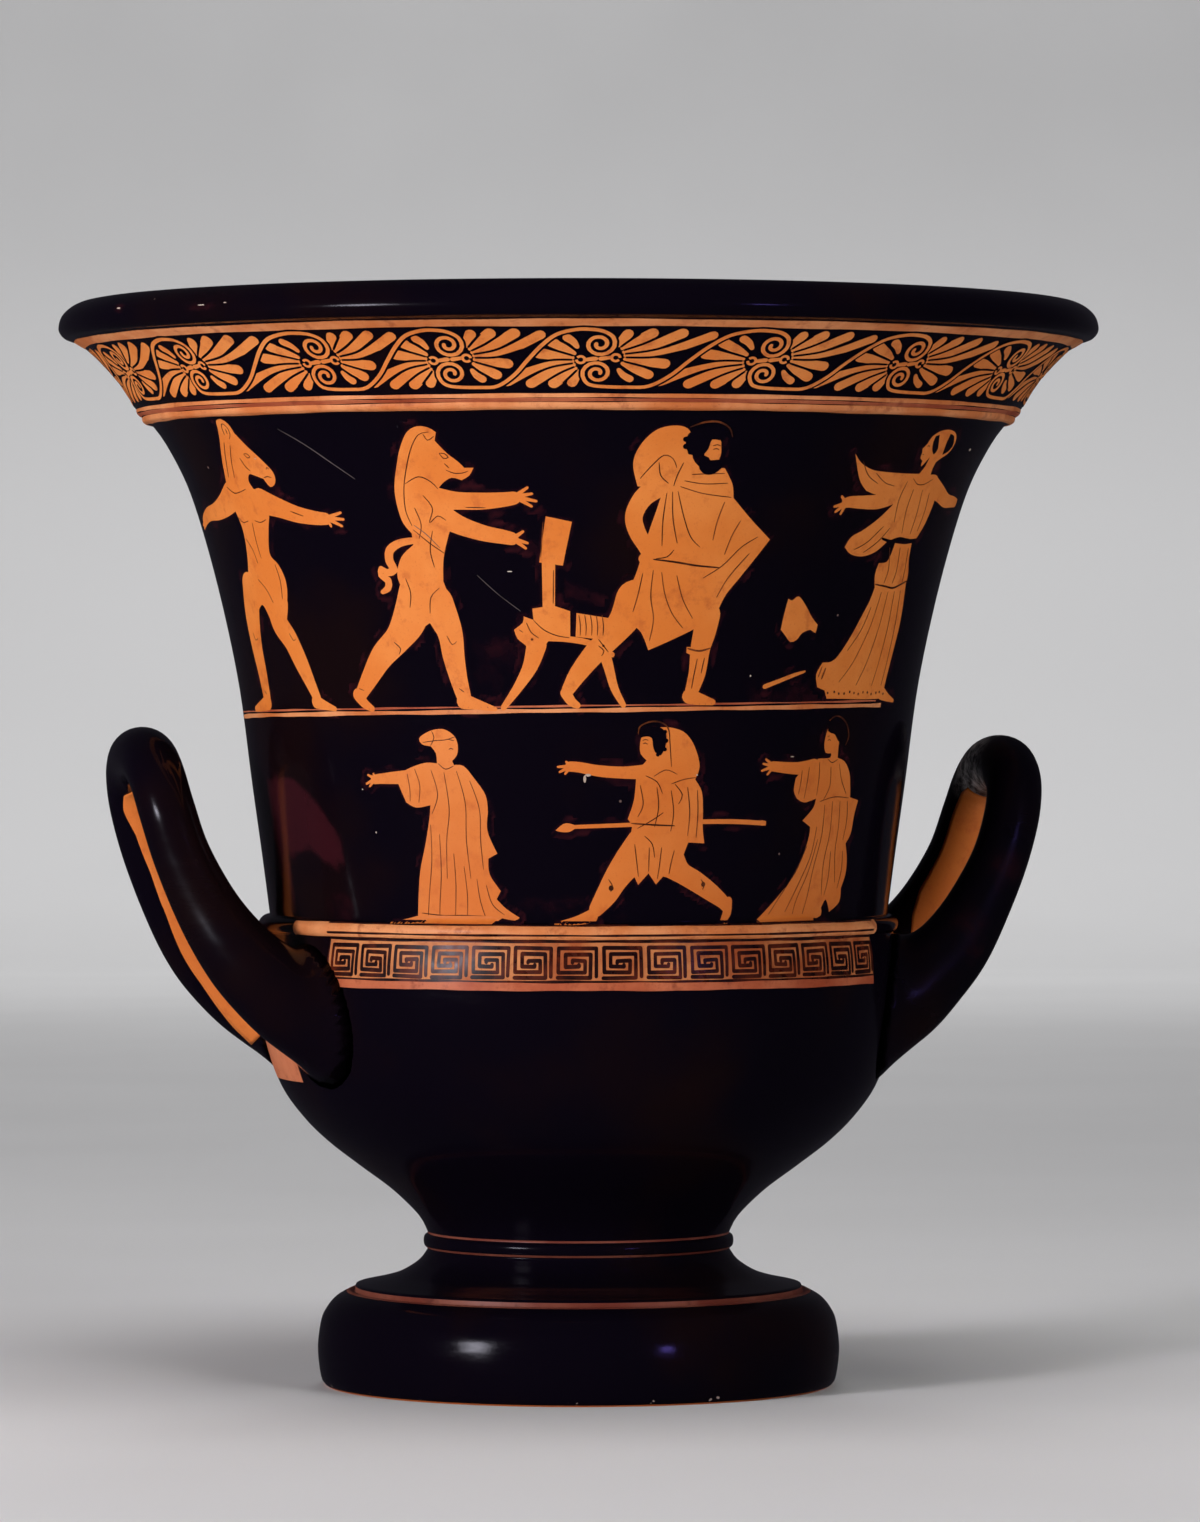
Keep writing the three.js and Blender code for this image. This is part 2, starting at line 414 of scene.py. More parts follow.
# The other bare clays: their tone, where they are pale and where they are deep, and their roughness.
band_clay, meander_clay, low_band_clay, ornament_clay, panel_clay, foot_clay, chip_clay, crack_dust = (
    fired_clay(name, tone, pale, deep, roughness)
    for name, tone, pale, deep, roughness in [
        ("band_clay", (0.56, 0.160, 0.043), (0.72, 0.290, 0.115), (0.30, 0.062, 0.019), 0.42),
        ("meander_clay", (0.33, 0.074, 0.021), (0.56, 0.210, 0.072), (0.17, 0.026, 0.008), 0.5),
        ("low_band_clay", (0.34, 0.064, 0.024), (0.50, 0.140, 0.060), (0.17, 0.026, 0.010), 0.42),
        ("ornament_clay", (0.64, 0.178, 0.032), (0.72, 0.240, 0.055), (0.42, 0.085, 0.016), 0.46),
        ("panel_clay", (0.50, 0.150, 0.065), (0.60, 0.215, 0.100), (0.26, 0.055, 0.022), 0.5),
        ("foot_clay", (0.145, 0.030, 0.018), (0.22, 0.070, 0.044), (0.07, 0.013, 0.008), 0.4),
        ("chip_clay", (0.42, 0.33, 0.26), (0.62, 0.56, 0.48), (0.24, 0.12, 0.07), 0.6),
        ("crack_dust", (0.055, 0.046, 0.046), (0.12, 0.10, 0.095), (0.02, 0.013, 0.013), 0.6),
    ]
)

# ---- The vessel's body ---------------------------------------------------------------------------------------
HANDLE_TOP = (144.4, 0, 204, 9.6)
HANDLE_LEG = [  # out, to the side, up, and the roll's radius there
    (62, 32, 117, 17), (84, 36.5, 119, 17), (99, 38.4, 126, 15.2), (110.8, 38.4, 136, 13.4),
    (119.4, 37, 145, 11.9), (127.4, 34.4, 157, 10.4), (135.4, 32.6, 172.6, 9.3), (140.6, 30.6, 187, 9.1),
    (143.2, 25, 197, 9.1), (144.2, 13.6, 202.6, 9.4),
]
# The two handles differ a little, as hand-made ones do: the side they are on, how much higher the arch stands,
# how wide apart the legs are, and how much further out the arch and the legs' middles lie.
HANDLES = [(1, -1.0, 0.88, -1.4, 0.0), (-1, 2.0, 1.02, 0.2, 1.8)]
ARCH_HEIGHTS = (165, 200)      # between these heights a leg turns into the arch,
LEG_FREE_HEIGHTS = (120, 136)  # between these its own place sets in,
LIFTED_HEIGHTS = (136, 176)    # and between these the handle's own height does
HANDLE_LEAN = [(120, 1.3), (145, 0.75), (175, 0.42), (205, 0.12)]  # heights, and how far the roll's faces lean
HANDLE_SIDES = 40
HANDLE_STEP = 1.3
ROOT_SPREAD = 4.6      # how much wider a handle's roll is where it meets the wall
ROOT_RISE = 10.0       # and how far from the wall it begins to widen
ROOT_DEPTH = 3.5       # how deep a handle's root ends in the wall
ROOT_BLEND = 3.2       # how far up a root the shading runs over softly into the wall's
ROOT_HEIGHTS = (92, 165)  # the roots meet the wall between these heights
ON_WALL = 0.02         # a point this close to the wall's surface belongs to it
# The face of each handle's roll towards its loop is bare clay up to some height. For the handle on each side:
# heights, and how wide the clay is there, as degrees of the roll towards the wall and away from it.
RESERVED = {
    1: [
        (120, -34, 50), (128, -28, 52), (140, -12, 56), (145, 6, 56), (151, 28, 54), (158, 43, 50),
        (168, 46, 44), (180, 46, 44), (190, 48, 46), (198, 46, 40), (201.5, 40, 14),
    ],
    -1: [
        (112, 50, 90), (122, 44, 72), (130, 36, 55), (138, 30, 44), (145, 27, 39), (157, 25, 29), (168, 24, 24),
        (180, 26, 25), (190, 30, 38), (198, 26, 34), (203.2, 10, 2),
    ],
}


def round_points(radii, heights, angles):
    """Points at these radii, heights and angles from the front."""
    return np.stack([radii * np.sin(angles), -radii * np.cos(angles), heights], -1)


# Turned lines that the gloss leaves bare on the foot and the stem: from and to which height and radius.
BARE_LINES = [(0, 1.2, 0, 99), (30.2, 32.5, 0, 76), (44.9, 45.4, 0, 99), (49.7, 50.1, 0, 99)]


def vessel_mesh():
    """The wheel-thrown vessel alone: points, faces, each face's material number, and point normals."""
    normals = profile_normals(PROFILE)
    angles = np.arange(GIRTH_SEGMENTS) * 2 * math.pi / GIRTH_SEGMENTS
    rows = PROFILE[1:-1]
    points = [np.array([[0, 0, RECESS_HEIGHT]])]
    point_normals = [np.array([[0, 0, -1]])]
    for (r, z), (out, up) in zip(rows, normals[1:-1]):
        points.append(round_points(np.full(GIRTH_SEGMENTS, r), np.full(GIRTH_SEGMENTS, z), angles))
        point_normals.append(round_points(np.full(GIRTH_SEGMENTS, out), np.full(GIRTH_SEGMENTS, up), angles))
    points.append(np.array([[0, 0, BOWL_FLOOR]]))
    point_normals.append(np.array([[0, 0, 1]]))
    faces, bare = [], []
    around = list(range(GIRTH_SEGMENTS))
    following = around[1:] + around[:1]
    last = 1 + (len(rows) - 1) * GIRTH_SEGMENTS
    bare_rows = len(under_foot()) + 1  # the hollow under the foot, its ring and its lowest edge show the clay
    outer_rows = len(PROFILE) - 1 - len(inside()) - 1
    for a, b in zip(around, following):
        faces.append((0, 1 + a, 1 + b))
        bare.append(1)
    for i in range(len(rows) - 1):
        low = 1 + i * GIRTH_SEGMENTS
        high = low + GIRTH_SEGMENTS
        faces += [(low + a, high + a, high + b, low + b) for a, b in zip(around, following)]
        radius, height = (rows[i][0] + rows[i + 1][0]) / 2, (rows[i][1] + rows[i + 1][1]) / 2
        outside = bare_rows < i < outer_rows
        line = outside and any(z1 < height < z2 and r1 < radius < r2 for z1, z2, r1, r2 in BARE_LINES)
        bare += [1 if i < bare_rows else 2 * line] * GIRTH_SEGMENTS
    for a, b in zip(around, following):
        faces.append((last + a, last + GIRTH_SEGMENTS, last + b))
        bare.append(0)
    return np.vstack(points), [face[::-1] for face in faces], bare, np.vstack(point_normals)


def ramp(value, start, end):
    """Rises from 0 at start to 1 at end."""
    return min(max((value - start) / (end - start), 0), 1)


def handle_controls(lift, spread, arch_out, leg_out):
    """One handle's centre line and radii, up its back leg, over the arch and down its front leg."""
    controls = []
    for out, side, z, radius in [*HANDLE_LEG, HANDLE_TOP]:
        arch = ramp(z, *ARCH_HEIGHTS)
        middle = ramp(z, *LEG_FREE_HEIGHTS) * (1 - arch)
        raised = lift * ramp(z, *LIFTED_HEIGHTS)
        controls.append((out + arch_out * arch + leg_out * middle, side * spread, z + raised, radius))
    leg, top = controls[:-1], controls[-1]
    return [*((x, -y, z, r) for x, y, z, r in leg), top, *leg[::-1]]


def roll_points(path, turns, lift=0.0):
    """Points on a handle's roll, for each step of its path at these turns round it; 0 faces the loop."""
    centres, radii = path[:, :3], path[:, 3]
    along = np.gradient(centres, axis=0)
    along /= np.linalg.norm(along, axis=1, keepdims=True)
    lean = np.interp(centres[:, 2], *np.array(HANDLE_LEAN).T)
    sheet = np.stack([np.ones_like(lean), np.zeros_like(lean), -lean], 1)
    inward = np.cross(along, sheet)
    inward /= np.linalg.norm(inward, axis=1, keepdims=True)
    outward = np.cross(inward, along)
    ring = np.cos(turns)[..., None] * inward[:, None] + np.sin(turns)[..., None] * outward[:, None]
    points = (centres[:, None] + radii[:, None, None] * ring).reshape(-1, 3)
    spread = points - np.repeat(centres, turns.shape[1], axis=0)
    away, wall_normals = depth_to_outside(points, SMOOTH_OUTSIDE, SMOOTH_NORMALS)
    sideways = spread - (spread * wall_normals).sum(1, keepdims=True) * wall_normals
    sideways /= np.maximum(np.linalg.norm(sideways, axis=1, keepdims=True), 1e-6)
    swell = ROOT_SPREAD * (1 - np.clip(away, 0, ROOT_RISE) / ROOT_RISE) ** 3
    points = points + sideways * swell[:, None] + ring.reshape(-1, 3) * lift
    away, wall_normals = depth_to_outside(points, SMOOTH_OUTSIDE, SMOOTH_NORMALS)
    return points + wall_normals * np.maximum(-ROOT_DEPTH - away, 0)[:, None]


def turned_to(side, points):
    """Points of a handle on +X, on the side that is meant (1 or -1)."""
    return points * np.array([side, side, 1])


def handle_mesh(side, *own_shape):
    """A handle's clay roll on +X (side 1) or -X (side -1), swelling softly into the wall at both roots."""
    path = curve_through(handle_controls(*own_shape), HANDLE_STEP)
    rows = len(path)
    turns = (np.arange(HANDLE_SIDES) + 0.5) * 2 * math.pi / HANDLE_SIDES
    points = roll_points(path, np.tile(turns, (rows, 1)))
    faces = []
    for i in range(rows - 1):
        for k in range(HANDLE_SIDES):
            nxt = (k + 1) % HANDLE_SIDES
            low, high = i * HANDLE_SIDES, (i + 1) * HANDLE_SIDES
            faces.append((low + k, low + nxt, high + nxt, high + k))
    faces.append(tuple(range(HANDLE_SIDES))[::-1])
    faces.append(tuple((rows - 1) * HANDLE_SIDES + k for k in range(HANDLE_SIDES)))
    return turned_to(side, points), faces, [0] * len(faces)


def with_materials(name, points, faces, numbers):
    """A mesh of the vessel's three surfaces: gloss (0), bare clay (1), and the deeper clay of the foot (2)."""
    made = new_object(name, points, faces, [gloss, clay, foot_clay])
    made.data.polygons.foreach_set("material_index", numbers)
    return made


def nearest_normals(points, normals, handles):
    """A finder of the thrown body's or a handle's own normal at the point of theirs that is nearest."""
    known = KDTree(len(points) + sum(len(h.data.vertices) for h in handles))
    known_normals = list(normals)
    for i, point in enumerate(points * MM):
        known.insert(point, i)
    for handle in handles:
        for vertex in handle.data.vertices:
            known.insert(vertex.co, len(known_normals))
            known_normals.append(np.array(vertex.normal))
    known.balance()
    return lambda place: known_normals[known.find(place)[1]]


def join_to(body, handles):
    """Joins the handles' meshes to the body's, and removes their objects."""
    for handle in handles:
        join = body.modifiers.new("join", "BOOLEAN")
        join.operation = "UNION"
        join.solver = "MANIFOLD"
        join.object = handle
    joined = bpy.data.meshes.new_from_object(body.evaluated_get(bpy.context.evaluated_depsgraph_get()))
    body.modifiers.clear()
    body.data = joined
    for handle in handles:
        bpy.data.objects.remove(handle)


def krater_body():
    """The whole clay vessel as one closed mesh: the thrown body with both handles joined to it. At the roots
    the handles' normals run over into the wall's."""
    points, faces, bare, normals = vessel_mesh()
    body = with_materials("krater_body", points, faces, bare)
    handles = [with_materials(f"handle_{k}", *handle_mesh(*shape)) for k, shape in enumerate(HANDLES)]
    own_normal = nearest_normals(points, normals, handles)
    join_to(body, handles)
    joined = body.data
    places = np.array([v.co for v in joined.vertices]) / MM
    away, wall_normals = depth_to_outside(np.maximum(places, [-1e9, -1e9, 1]) + [1e-9, 0, 0])
    near_roots = (places[:, 2] > ROOT_HEIGHTS[0]) & (places[:, 2] < ROOT_HEIGHTS[1])
    on_wall = near_roots & (np.abs(away) < ON_WALL)
    on_handle = near_roots & (away > ON_WALL) & (away < ROOT_BLEND)
    share = np.where(on_handle, np.clip(away / ROOT_BLEND, 0, 1), np.where(on_wall, 0.0, 1.0))
    share = share * share * (3 - 2 * share)
    own_normals = np.array([own_normal(place) for place in places * MM])
    set_normals = wall_normals * (1 - share)[:, None] + own_normals * share[:, None]
    set_normals /= np.linalg.norm(set_normals, axis=1, keepdims=True)
    joined.polygons.foreach_set("use_smooth", [True] * len(joined.polygons))
    joined.normals_split_custom_set_from_vertices(set_normals)
    paint_misfired(joined, places)
    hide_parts("krater")
    return finish_piece(body)


# Soft reddish patches where the gloss misfired: angle, height, half width and half height, and strength.
MISFIRED_PATCHES = [
    (-60, 158, 6, 6, 0.45), (-10, 159, 16, 6, 0.35), (28, 226, 14, 7, 0.5), (36, 231, 8, 10, 0.5),
    (-25, 236, 8, 12, 0.35), (-71, 348.5, 1.6, 2, 0.8), (-56, 347, 3, 1.8, 0.5), (96, 260, 12, 20, 0.5),
    (140, 180, 14, 16, 0.6), (200, 240, 12, 20, 0.5), (230, 170, 10, 14, 0.6),
]
# Misfired patches with clearer edges, as outlines in degrees and millimetres up.
MISFIRED_SHAPES = [
    (1.0, [
        (-79, 201), (-70, 199), (-63, 191), (-59, 182), (-58, 173), (-61, 170), (-68, 177), (-75, 173), (-80, 186),
    ]),
    (0.75, [(-82, 199), (-79, 199), (-76, 173), (-75, 154), (-80, 156), (-82, 178)]),
    (0.6, [(-15, 256), (-4, 251), (2, 256), (3, 262), (0, 258), (-5, 254), (-11, 260), (-15, 264)]),
]
# Worn brownish places, places with dust and a painted grey sheen, and dull places on the handles: the middle's x,
# y and z, how far it reaches, and strength.
WORN_PLACES = [(136, -38, 170, 15, 0.42), (124, -44, 148, 18, 0.4), (-136, -40, 175, 16, 0.3)]
DUST_AND_SHEEN_PLACES = [
    (133, 7, 203, 18, 1.3), (135, -4, 196, 12, 1.1), (-136, 8, 200, 10, 0.3), (106, -9, 148, 9, 0.5),
]
DULL_PLACES = [(140, 0, 200, 60, 1.2), (125, -40, 150, 50, 1.2), (-134, -36, 160, 40, 0.5)]
PATCH_EDGE = 3         # over this many millimetres a patch with a clear edge fades
WALL_START = 95        # above this height the patches lie on the wall


def depth_in(points, outline):
    """How far each flat point lies inside a closed outline, or outside it where that is negative."""
    inside_it = np.zeros(len(points), bool)
    nearest = np.full(len(points), 1e9)
    for a, b in zip(outline, outline[1:] + outline[:1]):
        a, b = np.array(a, float), np.array(b, float)
        share = np.clip(((points - a) @ (b - a)) / ((b - a) @ (b - a)), 0, 1)
        nearest = np.minimum(nearest, np.linalg.norm(points - a - share[:, None] * (b - a), axis=1))
        crosses = (a[1] > points[:, 1]) != (b[1] > points[:, 1])
        cut = a[0] + (b[0] - a[0]) * (points[:, 1] - a[1]) / (b[1] - a[1] or 1e-9)
        inside_it ^= crosses & (points[:, 0] < cut)
    return np.where(inside_it, nearest, -nearest)


def near_places(places, spots):
    """The strength of the nearest place at each point, fading out round it."""
    share = np.zeros(len(places))
    for x, y, z, reach, strength in spots:
        away = np.linalg.norm(places - np.array([x, y, z]), axis=1) / reach
        share = np.maximum(share, strength * np.clip(1.3 - 1.3 * away, 0, 1))
    return share


def paint_misfired(mesh, places):
    """How much each point lies in a misfired or worn place, a place with dust and painted sheen, or a dull place,
    for the gloss to read.
    """
    angles = np.degrees(np.arctan2(places[:, 0], -places[:, 1]))
    off_wall = np.hypot(places[:, 0], places[:, 1]) - outside_at(np.maximum(places[:, 2], OUTSIDE[0, 1]))[0]
    outer = np.abs(off_wall) < 1
    share = np.zeros(len(places))
    for angle, height, half_width, half_height, strength in MISFIRED_PATCHES:
        off = (angles - angle + 180) % 360 - 180
        reach = np.hypot(off / half_width, (places[:, 2] - height) / half_height)
        share = np.maximum(share, strength * np.clip(1.6 - 1.3 * reach, 0, 1))
    for strength, outline in MISFIRED_SHAPES:
        about_2mm_a_degree = [(2 * angle, height) for angle, height in outline]
        depth = depth_in(np.stack([2 * angles, places[:, 2]], 1), about_2mm_a_degree)
        share = np.maximum(share, strength * np.clip(0.5 + depth / PATCH_EDGE, 0, 1))
    share = np.where(outer & (places[:, 2] > WALL_START), share, near_places(places, WORN_PLACES))
    dust_and_sheen = near_places(places, DUST_AND_SHEEN_PLACES)
    dull = np.where(outer, 0.0, near_places(places, DULL_PLACES))
    for name, values in (("misfired", share), ("dust_and_sheen", dust_and_sheen), ("dull", dull)):
        mesh.attributes.new(name, "FLOAT", "POINT").data.foreach_set("value", np.minimum(values, 1))


krater_body()

# ---- Painting ------------------------------------------------------------------------------------------------
# Figures and ornament are drawn flat, as (across, up) in millimetres: up is the height, and across runs along
# the girth that the wall has at GIRTH_RADIUS, from the middle of the front. They are then laid on the wall.
GIRTH_RADIUS = 115
WALL_MESH = 3.6        # the longest facet of a painted shape, so that it follows the wall's curves
BAND_MESH = 2.4        # the same for the ornament near the mouth
SUNK = 0.12            # how far a painted shape's underside lies inside the wall
HALO_LIFT, CLAY_LIFT, LINE_LIFT, OVER_LIFT = 0.05, 0.10, 0.16, 0.21
OUTLINE_STEP = 1.3
LINE_STEP = 1.1
ARC_DETAIL = 1.5       # steps per radian round a form's end with a radius of 1 mm
DISC_DETAIL = 9        # steps round a disc with a radius of 1 mm
GRID_ROW = 0.87        # the rows of a triangular grid, as a share of its spacing
GRID_START = (0.011, 0.013)  # keeps the grid off the outlines' own points


def closed_curve(points, step):
    """A closed outline through the points, smooth but at those that carry a third value, which are corners."""
    corners = [i for i, point in enumerate(points) if len(point) > 2]
    flat = [point[:2] for point in points]
    if not corners:
        count = len(flat)
        wrapped = [flat[(i - 2) % count] for i in range(count + 5)]
        curve = curve_through(wrapped, step)
        start = int(np.argmin(np.linalg.norm(curve[: len(curve) // 2] - flat[0], axis=1)))
        end = start + 3 + int(np.argmin(np.linalg.norm(curve[start + 3 :] - flat[0], axis=1)))
        return curve[start:end]
    turned = flat[corners[0] :] + flat[: corners[0] + 1]
    stops = [c - corners[0] for c in corners] + [len(flat)]
    runs = [curve_through(turned[a : b + 1], step)[:-1] for a, b in zip(stops, stops[1:])]
    return np.vstack(runs)


def capsule(a, b, radius_a, radius_b):
    """The outline round two discs."""
    gap = math.dist(a, b)
    if gap <= abs(radius_a - radius_b) + 1e-6:
        centre, radius = (a, radius_a) if radius_a > radius_b else (b, radius_b)
        return disc(centre, radius)
    heading = math.atan2(b[1] - a[1], b[0] - a[0])
    tilt = math.acos((radius_a - radius_b) / gap)
    outline = []
    far_end, near_end = (b, radius_b, -tilt, 2 * tilt), (a, radius_a, tilt, 2 * math.pi - 2 * tilt)
    for centre, radius, start, sweep in (far_end, near_end):
        steps = max(2, round(sweep * math.sqrt(radius) * ARC_DETAIL))
        for k in range(steps + 1):
            angle = heading + start + sweep * k / steps
            outline.append((centre[0] + radius * math.cos(angle), centre[1] + radius * math.sin(angle)))
    return outline


def disc(centre, radius, squash=1.0):
    steps = max(8, round(DISC_DETAIL * math.sqrt(radius)))
    angles = [2 * math.pi * k / steps for k in range(steps)]
    return [(centre[0] + radius * math.cos(a), centre[1] + radius * squash * math.sin(a)) for a in angles]


class Painter:
    """Collects flat shapes in layers. What is drawn can be moved along the wall and mirrored."""

    def __init__(self):
        self.layers = {}
        self.put()

    def put(self, across=0.0, up=0.0, flip=False):
        """From now on, drawing happens from this place, mirrored if flip is true."""
        self.shift = np.array([across, up])
        self.facing = np.array([-1.0 if flip else 1.0, 1.0])

    def keep(self, outline, layer):
        placed = np.asarray(outline, float) * self.facing + self.shift
        x, y = placed[:, 0], placed[:, 1]
        if np.dot(x, np.roll(y, -1)) - np.dot(y, np.roll(x, -1)) < 0:
            placed = placed[::-1]
        self.layers.setdefault(layer, []).append(placed)

    def shape(self, points, layer="clay"):
        self.keep(closed_curve(points, OUTLINE_STEP), layer)

    def limb(self, points, layer="clay", step=1.6):
        """A rounded form along (across, up, thickness) points."""
        path = curve_through(points, step)
        for a, b in zip(path, path[1:]):
            self.keep(capsule(a[:2], b[:2], a[2] / 2, b[2] / 2), layer)

    def line(self, points, width=0.36, layer="dark", ends=0.45):
        """A drawn line that thins towards its ends."""
        path = curve_through(points, LINE_STEP)
        along = np.gradient(path, axis=0)
        side = np.stack([-along[:, 1], along[:, 0]], 1) / np.linalg.norm(along, axis=1, keepdims=True)
        share = np.linspace(0, 1, len(path))
        half = width / 2 * (ends + (1 - ends) * np.sqrt(np.sin(math.pi * share)))
        self.keep(np.vstack([path + side * half[:, None], (path - side * half[:, None])[::-1]]), layer)

    def dot(self, across, up, radius, layer="dark"):
        self.keep(disc((across, up), radius), layer)


def evenly(outline, longest):
    """The outline with extra points, so that no edge is longer than that."""
    points = []
    for a, b in zip(outline, np.roll(outline, -1, axis=0)):
        steps = max(1, math.ceil(math.dist(a, b) / longest))
        points += [a + (b - a) * k / steps for k in range(steps)]
    return points


def triangulated(outlines, spacing):
    """One flat mesh of everything inside any of the outlines, with points no further apart than spacing."""
    points, faces = [], []
    for outline in (evenly(np.asarray(outline), spacing * 0.6) for outline in outlines):
        faces.append(list(range(len(points), len(points) + len(outline))))
        points += [tuple(p) for p in outline]
    low, high = np.min(points, axis=0), np.max(points, axis=0)
    rise = spacing * GRID_ROW
    for j in range(1, int((high[1] - low[1]) / rise) + 1):
        for i in range(int((high[0] - low[0]) / spacing) + 1):
            across = low[0] + (i + 0.5 * (j % 2)) * spacing + GRID_START[0]
            points.append((across, low[1] + j * rise + GRID_START[1]))
    flat, _, triangles, _, _, owners = delaunay_2d_cdt([Vector(p) for p in points], [], faces, 0, 1e-5)
    kept = np.array([t for t, owner in zip(triangles, owners) if owner])
    used, kept = np.unique(kept, return_inverse=True)
    return np.array([tuple(flat[i]) for i in used]), kept.reshape(-1, 3)


def laid_on_wall(flat, lift):
    """Points on the wall, lifted off it by that much, and the wall's normals there."""
    angles = flat[:, 0] / GIRTH_RADIUS
    radius, out, up = outside_at(flat[:, 1])
    normals = round_points(out, up, angles)
    return round_points(radius, flat[:, 1], angles) + normals * np.reshape(lift, (-1, 1)), normals


def open_edges(faces):
    """The directed edges of a mesh that only one face uses."""
    seen = {}
    for face in faces:
        for a, b in zip(face, [*face[1:], face[0]]):
            seen[(a, b)] = True
    return [(a, b) for a, b in seen if (b, a) not in seen]


def coat(name, flat, faces, lift, material, misfired=None):
    """A thin closed layer on the wall: a flat mesh's faces on top, the same inside the wall, and its rim."""
    count = len(flat)
    faces = [tuple(int(v) for v in face) for face in faces]
    top, normals = laid_on_wall(flat, lift)
    under, _ = laid_on_wall(flat, -SUNK)
    below = [tuple(v + count for v in face[::-1]) for face in faces]
    rim = [(b, a, a + count, b + count) for a, b in open_edges(faces)]
    both_normals = np.vstack([normals, -normals])
    made = new_object(name, np.vstack([top, under]), faces + below + rim, [material], both_normals)
    if misfired is not None:
        made.data.attributes.new("misfired", "FLOAT", "POINT").data.foreach_set("value", np.tile(misfired, 2))
    return finish_piece(made)


def painted(name, outlines, lift, material, spacing=WALL_MESH):
    flat, triangles = triangulated(outlines, spacing)
    return coat(name, flat, triangles, lift, material)


HALO_REACH = 3.4       # how far the halo goes out from a figure
HALO_CELL = 1.25       # and the size of its mesh's squares
HALO_MARKS = 0.8       # the steps along the figures' edges that distances are measured from
HALO_TOP = 313.5       # it ends under the ridge
INNER_GLOW = 1.9       # how wide the reddish gloss against a figure is, and where the stripe beyond it lies


def halo(name, outlines):
    """The gloss close round the figures, where its first thin outline fired redder than the rest."""
    flat, triangles = triangulated(outlines, WALL_MESH)
    marks = []
    for a, b in open_edges([tuple(t) for t in triangles]):
        steps = max(1, math.ceil(math.dist(flat[a], flat[b]) / HALO_MARKS))
        marks += [tuple(flat[a] + (flat[b] - flat[a]) * k / steps) for k in range(steps)]
    edge = KDTree(len(marks))
    for i, mark in enumerate(marks):
        edge.insert((*mark, 0), i)
    edge.balance()
    low, high = np.array(marks).min(0) - HALO_REACH, np.array(marks).max(0) + HALO_REACH
    columns, rows = (np.ceil((high - low) / HALO_CELL).astype(int) + 1).tolist()
    grid = np.array([low + np.array([i, j]) * HALO_CELL for j in range(rows) for i in range(columns)])
    grid[:, 1] = np.minimum(grid[:, 1], HALO_TOP)
    away = np.array([edge.find((*p, 0))[2] for p in grid])
    faces = []
    for j in range(rows - 1):
        for i in range(columns - 1):
            a = j * columns + i
            face = (a, a + 1, a + columns + 1, a + columns)
            if away[list(face)].max() < HALO_REACH and grid[a + columns][1] > grid[a][1]:
                faces.append(face)
    used, kept = np.unique(np.array(faces), return_inverse=True)
    u, z = grid[used].T
    wander = np.sin(u * 0.21 + 1) * np.sin(z * 0.17 + 2)  # the stripe comes and goes along the figures
    wander += 0.7 * np.sin(u * 0.47 + z * 0.31) + 0.5 * np.sin(z * 0.6 - u * 0.2)
    stripe = 0.85 * np.exp(-(((away[used] - INNER_GLOW) / 0.9) ** 2)) * np.clip(wander + 0.1, 0, 1)
    strength = np.maximum(np.clip(0.9 - away[used] / INNER_GLOW, 0, 1) * 0.75, stripe)
    return coat(name, grid[used], kept.reshape(-1, 4), HALO_LIFT, gloss, strength)


def wavy(across, seed, size):
    """A small smooth unevenness of a hand-drawn edge."""
    return size * (np.sin(across * 0.11 + seed * 1.7) + 0.6 * np.sin(across * 0.29 + seed * 2.9)) / 1.6


STRIP_STEP = 2.2       # the steps along a band


def strip(lower, upper, start, end, seed=1, size=0.1, slope=0.0, rise=0.6):
    """A band's flat mesh, from one height to another and between two angles in degrees, with edges that are
    uneven by size, and with steps up of about rise."""
    from_across, to_across = math.radians(start) * GIRTH_RADIUS, math.radians(end) * GIRTH_RADIUS
    columns = math.ceil((to_across - from_across) / STRIP_STEP) + 1
    rows = max(2, math.ceil((upper - lower) / rise) + 1)
    across = np.linspace(from_across, to_across, columns)
    low = lower + wavy(across, seed, size) + slope * (across - across[0])
    high = upper + wavy(across, seed + 5, size) + slope * (across - across[0])
    flat = [np.stack([across, low + (high - low) * k / (rows - 1)], 1) for k in range(rows)]
    faces = []
    for k in range(rows - 1):
        for i in range(columns - 1):
            a = k * columns + i
            faces.append((a, a + 1, a + columns + 1, a + columns))
    return np.vstack(flat), faces


def strips(name, bands, lift, material):
    """Several bands as one piece."""
    flats, faces, count = [], [], 0
    for flat, band_faces in bands:
        faces += [tuple(v + count for v in face) for face in band_faces]
        flats.append(flat)
        count += len(flat)
    return coat(name, np.vstack(flats), faces, lift, material)


# ---- Bands and ornament --------------------------------------------------------------------------------------
MEANDER_ANGLES = (-62, 53.2)   # the meander runs between the handles, this far from the middle of each side
MOULDING_ANGLES = (-73, 54.5)  # and the bare clay of the moulding above it this far
SIDES = (0, 180)       # the middles of the front and of the back
GROUND_SLOPE = 0.0131  # the upper frieze's ground line rises this much, per millimetre along it
MEANDER_LOW, MEANDER_HIGH = 136.4, 147.9
MEANDER_PITCH = 15.1
MEANDER_MESH = 1.5
PALMETTES = 19
BAND_MIDDLE = 329.7    # half way up the palmette band


